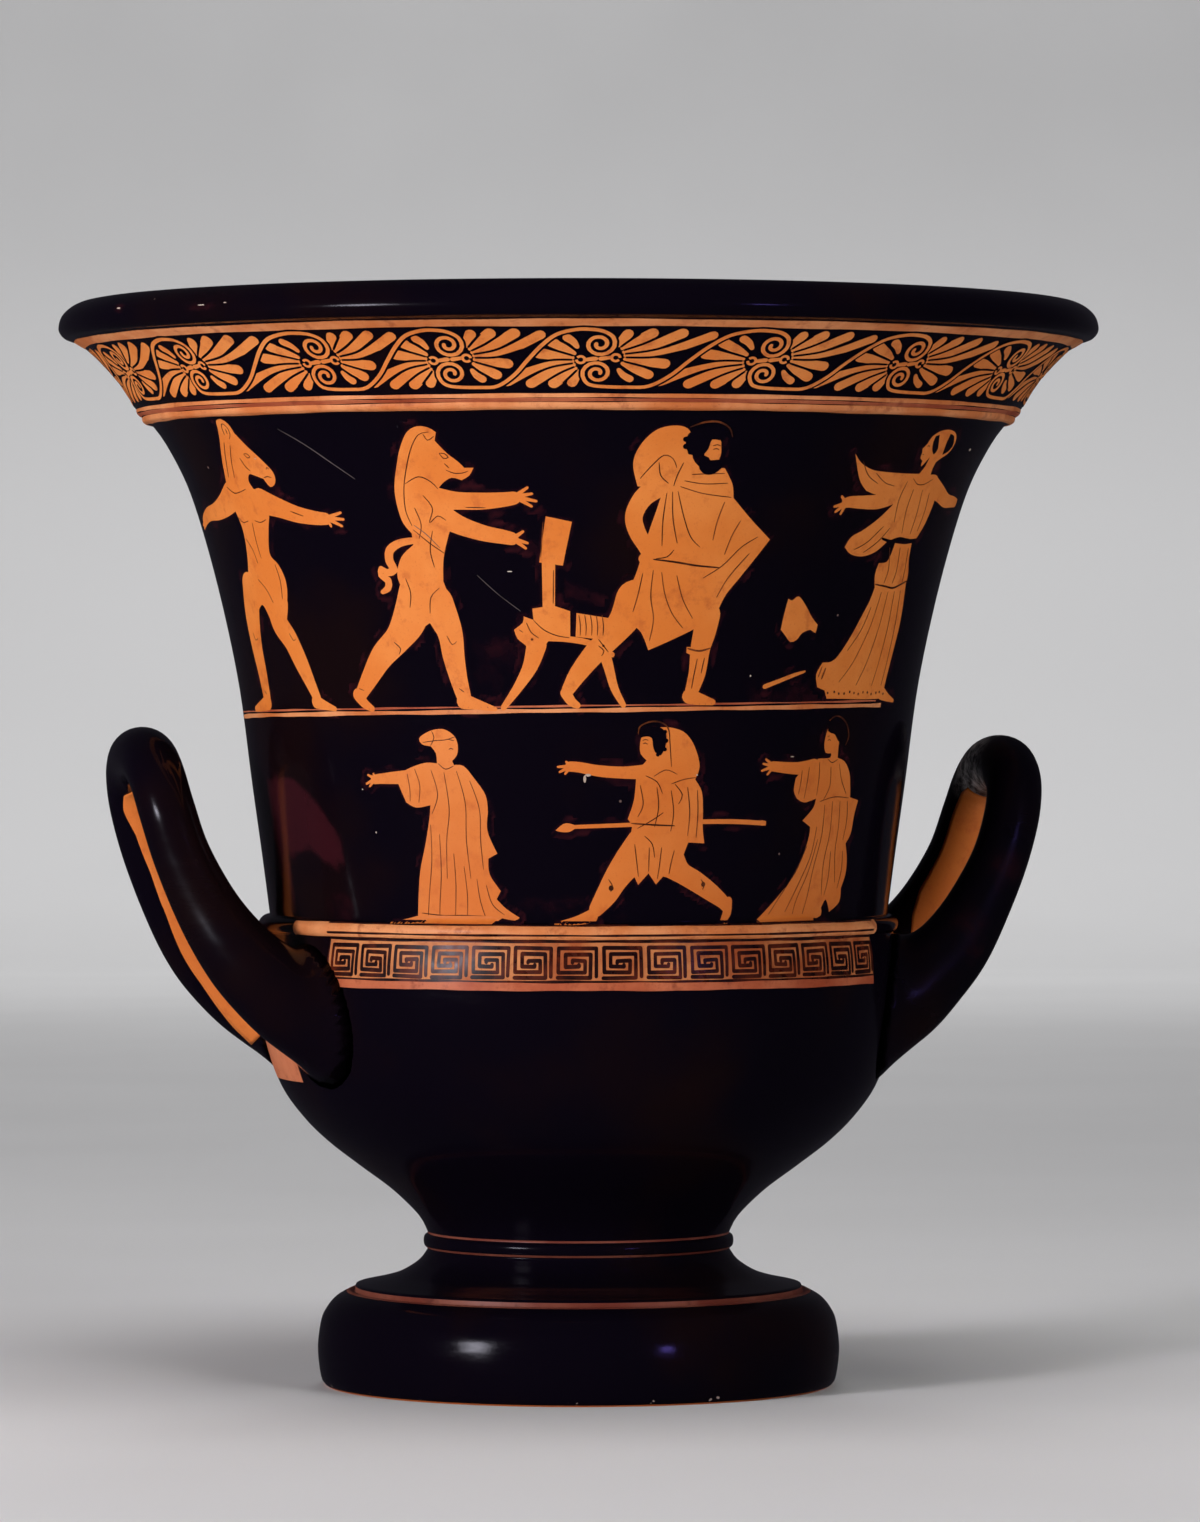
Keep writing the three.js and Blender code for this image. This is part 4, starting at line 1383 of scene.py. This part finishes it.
def fleeing_woman(p):
    """A woman in a long dress with winged sleeves, who runs off to the right and looks back."""
    p.shape([
        (59, 302, 1), (62.6, 299.2), (68, 297.2), (75, 296.6), (84, 296.4), (90.8, 296.5, 1), (92.4, 298.8),
        (92.8, 302, 1), (90.2, 298.8), (89.6, 300.6, 1), (87.9, 301.4), (87.6, 303), (86.8, 304.3, 1),
        (88.2, 306), (88.8, 308.2), (91.6, 310), (95.6, 310.6), (99.8, 310), (102.8, 308.2), (103.8, 305.6),
        (102.4, 303.2), (99.4, 301.6), (97.6, 300.4, 1), (97.2, 298.4), (97.6, 296.4, 1), (102, 296.2),
        (106.6, 293, 1), (106.2, 286.4), (104.2, 280.6), (101, 276.2, 1), (96, 275.9), (90, 276.4),
        (84, 275, 1), (79, 271.6), (73, 270), (67.4, 270.6), (64.2, 272.8, 1), (66.2, 276), (71, 278.4),
        (77, 282.2), (82.4, 286.8, 1), (78, 288.6), (72, 289.6), (68, 290.6, 1), (64, 294),
    ])
    p.limb([(82, 289.4, 5.4), (75, 287.4, 4.8), (68, 287, 4.2), (62.4, 287, 3.6), (60.6, 286.6, 3.2)])
    fingers(p, (61, 286.6), [(56.6, 285.4), (57.4, 283.8), (59.6, 283.2), (58.6, 288.6)])
    p.limb([(102, 292.6, 6.4), (109, 290.6, 5.2), (116, 288.6, 4.4), (123, 288.4, 3.6), (128, 288.2, 2.8)])
    p.shape([
        (88.4, 274.4, 1), (94, 274.2), (98.6, 274.6, 1), (99.4, 269.4), (101.4, 264.4), (100.8, 260, 1),
        (82.4, 260.4, 1), (81.2, 264.4), (82, 268, 1), (86, 268.4), (87.6, 271),
    ])
    p.shape([
        (82.8, 261.4, 1), (101.2, 262, 1), (102.8, 254), (103.2, 247), (102, 238.6), (100.6, 231.4),
        (99.4, 224.8, 1), (88, 224.6), (76, 224.7), (67, 224.8, 1), (65.6, 227.4, 1), (62, 228.4, 1),
        (60.8, 232.4), (63, 236.2, 1), (68.4, 237.2), (74, 243.6), (78.8, 251.6), (81.4, 256.4),
    ])
    p.limb([(98.6, 226.6, 4.4), (103.4, 225.2, 2.6), (109, 224.1, 1.1)])
    p.shape([
        (90.4, 308.4, 1), (91.9, 308.9, 1), (94.9, 304.4), (94, 302.8, 1), (92.2, 304), (90.7, 306.4),
    ], "over")
    p.shape([
        (97.8, 309.4, 1), (100.3, 308.9), (102.3, 307.1), (102.9, 305.4), (101.6, 303.8), (99.3, 302.9, 1),
        (98.7, 305), (98.2, 307.2),
    ], "over")
    folds(p, [
        [(88.5, 305.1), (89.2, 305.4), (89.9, 305)], [(88, 302.6), (88.9, 302.5)],
        [(88.4, 295), (92, 293.2), (96, 293.4), (100, 295)], [(86, 294), (84.4, 288), (85, 281)],
        [(90.6, 291.6), (90, 284.6), (90.8, 277.6)], [(96, 291.6), (96.8, 284.4), (96, 277.4)],
        [(101, 290.6), (101.6, 284.6), (100.2, 278.4)], [(63, 299.8), (67, 295.4), (72, 293)],
        [(70, 296.2), (75, 293.4), (80, 292.4)], [(68.4, 272), (74, 274.6), (80, 279.6)],
        [(73, 271.2), (79, 274.8), (83.6, 279.2)], [(86.8, 258.8), (84.2, 248), (78.4, 237), (72, 230)],
        [(90.6, 259), (89.4, 248), (86, 237), (81.4, 229)], [(94.6, 259.2), (95, 248), (93.4, 237), (91, 229)],
        [(98.6, 259.4), (99.8, 248), (99, 237), (97.4, 229)], [(82.6, 254), (79.4, 246.6), (74, 240)],
        [(86, 273), (88, 266), (87, 261.6)], [(92, 273), (93, 266), (92, 261.6)],
        [(97.2, 273), (98.2, 267), (98.4, 262)],
    ], 0.26)
    p.line([(80.6, 275.8), (86, 274.9), (92, 275.6), (100.4, 275.2)], 1.1, "over", 0.5)
    p.line([(82.4, 261.2), (88, 260.7), (93, 260.2), (97, 261.2), (101.6, 262.6)], 0.62)
    for k in range(13):
        p.dot(67.4 + 2.7 * k + dice.uniform(-0.3, 0.3), 226.6 + 0.35 * math.sin(k * 1.9), 0.42)
    p.line([(63.4, 231), (64.8, 234.6)], 0.7)
    p.line([(61.8, 231.6), (63, 235)], 0.4)


# ---- Figures: the front's lower frieze -----------------------------------------------------------------------
def woman_with_bound_hair(p):
    """A woman in a long dress who stretches an arm to the left; a cloth binds her hair."""
    p.shape([
        (-88.6, 198.2, 1), (-86.6, 201.4), (-82, 203.4), (-77, 204.6), (-73, 204.4, 1), (-73.2, 207.6),
        (-75, 209.8, 1), (-78.2, 210.4), (-79.2, 212.2), (-77, 213.8), (-73.6, 215), (-69.6, 215.1),
        (-66.2, 213), (-65.1, 210), (-65.6, 207), (-67.4, 205.2, 1), (-66.8, 203.9, 1), (-63.4, 203.6),
        (-60, 200), (-56, 194.4), (-55.4, 189, 1), (-55.8, 183), (-52.6, 176, 1), (-55.9, 174.4, 1),
        (-55.6, 169.4), (-51.8, 164.2, 1), (-53.4, 161.6, 1), (-50, 158.6), (-45.2, 155.8, 1), (-47, 154.9),
        (-51.6, 155.6, 1), (-55, 153.7, 1), (-84.4, 153.7, 1), (-83.8, 160), (-82.2, 170), (-79.4, 178.6),
        (-77.2, 186.6), (-76.4, 191.2, 1), (-82, 190.4), (-85.8, 192, 1), (-87.4, 195.4),
    ])
    p.limb([(-85, 200, 4.4), (-91, 199.7, 3.8), (-96, 199.4, 3.2), (-98.4, 199.2, 3)])
    fingers(p, (-98, 199.4), [(-101, 200.6), (-102, 197.8), (-100.6, 197), (-98.6, 201)], 1.0)
    p.limb([(-82.4, 155.2, 2.6), (-88, 154.3, 1.9), (-94.4, 153.7, 1)])
    folds(p, [
        [(-77.8, 211), (-73, 211.6), (-69, 211.9), (-65.6, 213)], [(-75, 210), (-73.6, 212.6), (-74.4, 214.6)],
        [(-68.4, 212), (-66.4, 211.6)], [(-66.8, 208.8), (-67.6, 209.2), (-68.4, 208.8)],
        [(-72.6, 204.4), (-70, 202.6), (-67, 203.6)], [(-81.6, 202.6), (-80, 197.4), (-80.8, 192)],
        [(-84.6, 201), (-84, 196.4), (-84.2, 192.4)], [(-75.4, 202.4), (-73.4, 194.6), (-76, 188.4)],
        [(-70.6, 201.6), (-69.4, 190), (-71, 180), (-71.6, 168)],
        [(-66, 202), (-63.4, 192), (-63.6, 180), (-62.6, 168)],
        [(-61.4, 199), (-58.4, 190), (-58.4, 180), (-57.8, 171)],
        [(-76.8, 185), (-77.2, 174), (-79, 163), (-80, 156)],
        [(-73.6, 182), (-73.8, 170), (-75, 160), (-75.4, 155.4)], [(-68.6, 176), (-68.4, 166), (-69.2, 155.6)],
        [(-65, 172), (-64.2, 163), (-64.6, 155.6)], [(-60.4, 168), (-59.4, 161), (-57.4, 155)],
        [(-57, 166), (-55, 160), (-50.6, 156.6)],
    ], 0.27)
    p.line([(-82.6, 157), (-74, 156.3), (-66, 156.4), (-58, 156.2)], 0.36)


def running_traveller(p):
    """A young man who runs to the left, one arm stretched out, with a spear in his hand and a hat behind him."""
    p.shape([
        (-4.6, 200.6, 1), (-2.6, 203.9, 1), (-1.2, 205.4, 1), (-3.2, 207.4), (-3.6, 210), (-3, 213),
        (-1, 215.2), (3, 215.8), (7.6, 215.6), (12, 213.9), (15.4, 209.6), (17.4, 203.6), (16, 199.4, 1),
        (18.6, 195.6), (19.4, 190), (19.7, 184), (20.6, 179.2, 1), (14.6, 179.5, 1), (12.8, 175),
        (11, 170.9, 1), (8.6, 168.6), (5.9, 168.8, 1), (3.4, 166.3, 1), (0.6, 169.8, 1), (-3, 166.2, 1),
        (-5.6, 170.8, 1), (-9, 171.6), (-12, 173, 1), (-10, 176.6), (-6.4, 181.4), (-5.6, 185, 1),
        (-7.2, 187, 1), (-5.2, 193),
    ])
    p.limb([(-2, 201.8, 4.6), (-9, 201.6, 3.8), (-17, 202.1, 3.6), (-24, 203.3, 3.3), (-27, 203.5, 3.2)])
    fingers(p, (-26.6, 203.6), [(-31, 203.4), (-30.4, 201.8), (-28.6, 201.2), (-28.2, 205)], 1.0)
    p.limb([(-1, 178, 14), (-6.4, 173.6, 10.4), (-10.6, 168.6, 8.6), (-14, 163.4, 7.4), (-17.8, 158.6, 5)])
    p.limb([(-19.4, 156.3, 4.4), (-25, 154.9, 2.7), (-32, 153.8, 1.2)])
    p.limb([
        (6, 176, 13), (12, 170.4, 7.2), (18, 167.2, 6.6), (24, 163.8, 5.8), (29.4, 160.4, 4.4),
        (31, 158.6, 3.8),
    ])
    p.limb([(31.4, 160.8, 2.8), (31, 157, 3.3), (29.6, 154.6, 2.2)])
    p.limb([(-29, 184.4, 1.2), (-8, 185.1, 1.3), (12, 185.9, 1.4), (30, 186, 1.5), (43.4, 185.4, 1.5)])
    p.shape([(-32, 183.4, 1), (-29.4, 185.4), (-27.2, 185.6), (-24.4, 184.7, 1), (-27, 183), (-30, 182.9)])
    p.shape([(42.6, 186.4, 1), (44.6, 186, 1), (44.6, 184.6, 1), (42.6, 184.6, 1)])
    p.shape([
        (-3.4, 212.6, 1), (-3.6, 214.8), (-0.6, 215.8), (3, 215.8), (5.2, 213.6), (5, 209.6), (3.6, 207, 1),
        (1.6, 208), (0.8, 210.2), (0.4, 212.4), (-1.4, 213),
    ], "over")
    p.line([(-4.2, 213.6), (-3.8, 216), (-0.6, 217.5), (2.8, 217.5), (5.6, 215.9), (6.5, 212.8)], 0.5)
    curls(p, [
        (-3, 214.6), (-0.4, 216), (2.4, 216.1), (4.8, 214.4), (5.3, 211.6), (4.9, 208.9), (2.6, 207.3),
    ], 0.7)
    folds(p, [
        [(-2.6, 210.6), (-1.8, 210.9), (-1, 210.5)], [(-2.8, 211.6), (-1.8, 212), (-0.8, 211.7)],
        [(6.2, 215), (6.8, 209), (7.4, 203.4)], [(16.4, 200), (12, 199.4), (7.6, 198)],
        [(-1.4, 200.6), (2.6, 198.6), (4.6, 195)], [(1.4, 200.4), (5.6, 202.4), (9.6, 201)],
        [(8.8, 198), (11.6, 194.6), (10.4, 191.6)], [(-3.2, 197.6), (-2, 191.6), (-3.8, 187.6)],
        [(2.6, 197), (3.4, 190.6), (2.2, 184.4)], [(7.6, 196), (8.8, 189), (8, 183)],
        [(13.4, 197), (14.6, 189), (14.2, 181.6)], [(17, 196), (17.6, 189), (17.4, 181)],
        [(-3.8, 184), (1, 186.4), (5.2, 189)], [(-1.2, 181.6), (1.6, 179), (2.6, 174.8)],
        [(-4.6, 179), (-3.8, 174), (-3, 168.8)], [(0.6, 178), (0.6, 173), (0.6, 170.4)],
        [(5, 178), (4.4, 172), (3.8, 168)], [(9.6, 177), (8.6, 173), (8, 169.6)],
        [(-13.6, 168), (-12, 165.6), (-12.8, 164)], [(20, 167.8), (21.4, 166), (20.8, 164.6)],
    ])
    p.dot(-12.6, 165.2, 0.9)
    p.dot(21, 166.2, 0.8)
    p.line([(-6, 185.6), (2, 185.1), (9.4, 184.8)], 0.55)


def woman_with_rolled_hair(p):
    """A woman in a long dress who leans back and stretches her arms to the left."""
    p.shape([
        (56, 199.6, 1), (60, 203), (66, 205.7, 1), (71.8, 206), (72, 207.4, 1), (69.2, 207.6), (68.2, 210.2),
        (68.6, 213.4), (69.4, 215.4, 1), (72, 214.6), (75.4, 212), (75.6, 208.4), (75.8, 205.9, 1), (80, 204.6),
        (83.4, 201), (84.8, 196.4), (85.4, 193.2, 1), (90.9, 192.2, 1), (89.4, 187.4), (88.6, 181.6),
        (86, 178.4, 1), (88, 173.4), (88.2, 168.6), (86.2, 164, 1), (86, 159.6), (80.4, 156.6, 1),
        (77.6, 160.6), (75.2, 158, 1), (75.6, 155.6), (70, 154, 1), (42.8, 153.9, 1), (48.4, 158.4),
        (54.4, 163.6), (60, 169.4), (63.2, 175.6), (65, 181), (65, 184, 1), (61, 186, 1), (65.6, 190),
        (66.6, 193, 1), (61, 191.8), (57.4, 193, 1), (55.6, 195.6),
    ])
    p.limb([(64, 203.4, 4.6), (57, 202.7, 4), (50, 203, 3.5), (45.6, 203.4, 3.2)])
    fingers(p, (46, 203.4), [(41.2, 202), (41.6, 204.2), (42.6, 205.6), (43.6, 200.8)], 1.0)
    p.shape([
        (69.2, 214.6, 1), (70, 217), (73, 217.9), (76.6, 216.4), (79.2, 213.4), (79.4, 211, 1), (76.8, 210.6),
        (75, 211.4), (73, 213.4), (71, 213.8),
    ], "over")
    p.line([(69.6, 217.8), (72.4, 219.2), (75.6, 218.8), (79, 216.6), (80.8, 212.9), (79.4, 209.9)], 0.5)
    curls(p, [(71.4, 217.6), (74.6, 217.6), (77.6, 215.8), (79.4, 212.8), (78, 210.9)], 0.7)
    folds(p, [
        [(69.6, 211.4), (70.4, 211.8), (71.2, 211.4)], [(69.4, 212.6), (70.4, 213)],
        [(70.6, 205.6), (73, 204.4), (75.8, 205.4)], [(66.6, 204.6), (67, 199.4), (66.6, 194)],
        [(61.8, 203), (61.4, 198), (60.6, 193)], [(58.6, 202), (58.4, 198), (57.8, 194.4)],
        [(77, 204), (79, 199), (82.6, 194.4)], [(72.6, 203), (73, 197), (70.4, 192.6)],
        [(68.6, 192), (76, 193.4), (84.6, 193)], [(84, 192), (85, 186), (84, 179.6)],
        [(79.6, 192), (80.4, 184), (80, 176), (81.8, 166)], [(75.4, 192), (75.8, 182), (74, 172), (74.6, 162)],
        [(71.4, 191), (71.4, 181), (68.8, 171), (67, 162), (65, 155.6)],
        [(68.4, 184), (66.8, 175), (62, 166), (56.4, 157)],
        [(69.6, 180), (66.4, 170), (61.6, 161), (60, 155.6)], [(77.4, 176), (77.6, 168), (76.2, 162)],
        [(84.6, 176), (85.2, 170), (83.6, 164)], [(64.4, 178), (60, 170), (52.6, 161), (48.6, 156)],
    ], 0.27)
    p.line([(46.6, 156.2), (54, 155.9), (62, 155.6), (70, 155.6)], 0.36)


# ---- Figures: the back, plainer ------------------------------------------------------------------------------
def scaled(points, k):
    return [(x * k, y * k, *rest) for x, y, *rest in points]


def draped_youth(p, tall):
    """A youth wrapped in a long cloak, standing in profile to the right, drawn quickly. His feet are at (0, 0)
    and his outline's numbers are for a youth 82 mm tall."""
    k = tall / 82
    p.shape(scaled([
        (-9, 7, 1), (-10.6, 22), (-11.6, 38), (-12.4, 52), (-10.8, 62), (-5, 68.4), (-3.2, 70.8, 1), (-5.2, 73.8),
        (-5.9, 78), (-4.2, 82), (0.2, 83.6), (4.2, 82.2), (5.6, 79.2), (5.5, 77.8, 1), (6.5, 75.8, 1), (5.6, 74.8),
        (5.4, 72.6), (4.4, 71.4), (2.6, 71, 1), (3.6, 67.6), (9, 63), (11.4, 56), (15, 50.6), (12.6, 47, 1),
        (10.8, 40), (11, 26), (11.8, 12), (12.4, 6.6, 1), (2, 5),
    ], k))
    for foot in (-5, 5):
        leg = ((foot, 8, 4), (foot + 0.6, 3.4, 3.4), (foot + 5.6, 1.4, 1.5))
        p.limb([(x * k, y * k, thick * k) for x, y, thick in leg])
    p.shape(scaled([
        (-4.7, 74, 1), (-5.5, 78), (-4, 81.6), (0.2, 83.2), (3.8, 81.9), (5.1, 79.7, 1), (1.9, 79), (-0.2, 76.6),
        (-2.4, 73.4),
    ], k), "over")
    drawn = [
        [(-3, 67), (-7, 56), (-8.4, 40), (-7, 22), (-6, 9)], [(3, 66.6), (-2, 56), (-4, 42), (-3, 24), (-2, 8)],
        [(9.4, 60), (2.6, 52), (0.6, 40), (1.6, 24), (2.4, 8)],
        [(11.6, 50), (6.6, 44), (5, 32), (6.2, 18), (7, 9)], [(-10.8, 60), (-3, 57), (5, 58.6), (11, 56)],
        [(3.4, 77), (4.2, 77.3), (4.9, 76.9)], [(4.6, 73.9), (5.4, 74)],
    ]
    folds(p, [scaled(line, k) for line in drawn], 0.34)


def staff(p, across, low, high):
    """A walking staff that bows a little."""
    p.limb([(across, low, 0.9), (across + 0.6, (low + high) / 2, 1.0), (across + 0.4, high, 0.9)])


def front_figures():
    """The upper frieze's figures from left to right, then the lower one's."""
    p = Painter()
    for draw in (
        horse_headed_man, boar_headed_man, chair, striding_traveller, falling_cup, fleeing_woman,
        woman_with_bound_hair, running_traveller, woman_with_rolled_hair,
    ):
        draw(p)
    return p


def back_figures():
    """Draped youths who stand and talk, four above; two below, with two women who hold out their arms."""
    p = Painter()
    back = math.pi * GIRTH_RADIUS
    for angle, flip in ((-66, False), (-26, True), (14, False), (54, True)):
        p.put(back + math.radians(angle) * GIRTH_RADIUS, 221.6 + 0.013 * angle, flip)
        draped_youth(p, 84)
        if not flip:
            staff(p, 19, 1, 62)
    for angle in (-46, 8):
        p.put(back + math.radians(angle) * GIRTH_RADIUS, 153.8)
        draped_youth(p, 60)
        staff(p, 15, 0, 46)
    for draw, middle, angle in ((woman_with_bound_hair, -75, -12), (woman_with_rolled_hair, 68, 40)):
        p.put(back + math.radians(angle) * GIRTH_RADIUS - middle)
        draw(p)
    return p


def figures():
    for side, p in (("front", front_figures()), ("back", back_figures())):
        halo(f"{side}_halo", p.layers["clay"])
        painted(f"{side}_figures", p.layers["clay"], CLAY_LIFT, clay)
        painted(f"{side}_drawing", p.layers["dark"], LINE_LIFT, dark_line)
        painted(f"{side}_hair", p.layers["over"], OVER_LIFT, gloss)


figures()

# ---- Stage, light and camera ---------------------------------------------------------------------------------
EYE_AZIMUTH = math.radians(-12)
EYE_DISTANCE = 2.462
EYE_HEIGHT = 0.2275
# The paper's tones are painted lighter on the floor and darker towards the backdrop's top, as painted light and
# shade.
FLOOR = (0.84, 0.84, 0.842)
BACKDROP = (0.76, 0.76, 0.762)
BACKDROP_TOP_SHADE = (0.50, 0.50, 0.502)
PAPER_CLOUDS = (0.7, 0.7, 0.7)
ROOM_LIGHT = (0.68, 0.64, 0.82, 1)


def floor_and_backdrop():
    """A pale sweep: a floor that curves up into a backdrop behind the vessel, as the camera sees it."""
    front, bend_start, bend_radius, top, half_width = -4.0, 3.7, 1.0, 4.0, 5.0
    bend_steps = 16
    line = [(front, 0), (bend_start, 0)]
    for k in range(1, bend_steps + 1):
        angle = math.pi / 2 * k / bend_steps
        line.append((bend_start + bend_radius * math.sin(angle), bend_radius * (1 - math.cos(angle))))
    line.append((bend_start + bend_radius, top))
    vertices, faces = [], []
    turned, aside = math.cos(EYE_AZIMUTH), math.sin(EYE_AZIMUTH)
    turn = np.array([[turned, -aside], [aside, turned]])
    for along, up in line:
        for side in (-half_width, half_width):
            x, y = turn @ (side, along)
            vertices.append((x / MM, y / MM, up / MM))
    for i in range(len(line) - 1):
        faces.append((2 * i, 2 * i + 1, 2 * i + 3, 2 * i + 2))
    n = Nodes("pale_paper")
    height = n.height()
    # Painted light and shade: the floor lighter, the backdrop darker towards its top.
    low = n.mix(n.remap(height, 0.0, 0.3), FLOOR, BACKDROP)
    shade = n.mix(n.remap(height, 0.25, 0.9), low, BACKDROP_TOP_SHADE)
    n.colour(n.mix(n.remap(n.noise(3, 2), 0.3, 0.7, 0.0, 0.2), shade, PAPER_CLOUDS))
    n.shader.inputs["Roughness"].default_value = 0.9
    n.shader.inputs["Specular IOR Level"].default_value = 0.1
    sweep = new_object("floor", vertices, faces, [n.material])
    sweep.visible_glossy = False  # as with a polarising filter, the gloss does not mirror the pale room


def area_light(name, place, aim, size, power):
    light = bpy.data.lights.new(name, "AREA")
    light.shape = "RECTANGLE"
    light.size, light.size_y = size
    light.energy = power
    holder = bpy.data.objects.new(name, light)
    holder.location = place
    holder.rotation_euler = (aim - holder.location).to_track_quat("-Z", "Y").to_euler()
    bpy.context.scene.collection.objects.link(holder)
    return holder


def soft_light(name, azimuth, elevation, distance, size, power, colour=(1, 1, 1), mirrored=True, spread=180):
    """A soft light that looks at the middle of the vessel, fanning out by that many degrees. One that is not
    mirrored leaves no highlights."""
    turn, rise = math.radians(azimuth), math.radians(elevation)
    flat = distance * math.cos(rise)
    aim = Vector((0, 0, HEIGHT / 2))
    place = aim + Vector((flat * math.sin(turn), -flat * math.cos(turn), distance * math.sin(rise)))
    holder = area_light(name, place, aim, size, power)
    holder.data.color = colour
    holder.data.spread = math.radians(spread)
    holder.visible_glossy = mirrored
    holder.visible_camera = False


def behind(distance, height):
    """A place behind the vessel, as the camera sees it."""
    return Vector((distance * math.sin(-EYE_AZIMUTH), distance * math.cos(EYE_AZIMUTH), height))


def camera():
    """At the height of the wall's middle, level, a little to the left of the front's middle."""
    eye = bpy.data.cameras.new("camera")
    eye.sensor_fit = "AUTO"
    eye.sensor_width = 36
    eye.lens = 177.4
    eye.shift_x = 0.0141
    eye.shift_y = -0.0466
    eye.clip_end = 50
    holder = bpy.data.objects.new("camera", eye)
    holder.location = (EYE_DISTANCE * math.sin(EYE_AZIMUTH), -EYE_DISTANCE * math.cos(EYE_AZIMUTH), EYE_HEIGHT)
    holder.rotation_euler = (math.pi / 2, 0, EYE_AZIMUTH)
    bpy.context.scene.collection.objects.link(holder)
    bpy.context.scene.camera = holder


def world(strength):
    """A dim room all round."""
    surroundings = bpy.data.worlds.new("room")
    surroundings.use_nodes = True
    background = surroundings.node_tree.nodes["Background"]
    background.inputs["Color"].default_value = ROOM_LIGHT
    background.inputs["Strength"].default_value = strength
    bpy.context.scene.world = surroundings


floor_and_backdrop()
soft_light("key", -58, 8, 2.1, size=(0.5, 0.42), power=15, colour=(1, 0.92, 0.78), mirrored=False)
soft_light("window", -58, 8, 2.1, size=(0.36, 0.16), power=22, colour=(0.88, 0.86, 1.0))
soft_light("fill", 27, 15, 2.3, size=(0.8, 0.8), power=1.95, colour=(1, 0.98, 0.94), mirrored=False, spread=60)
soft_light("glint", 27, 7, 2.3, size=(0.20, 0.10), power=0.07, colour=(0.28, 0.20, 1.0), spread=40)
soft_light("top", 0, 80, 2.2, size=(1.2, 1.2), power=18, mirrored=False)
soft_light("back", 168, 35, 2.4, size=(0.8, 0.5), power=8, mirrored=False)
area_light("backdrop", behind(3.0, 1.9), aim=behind(4.6, 0.5), size=(3.0, 0.6), power=34)  # away from the vessel
world(0.032)
camera()
bpy.context.scene.view_settings.view_transform = "Standard"
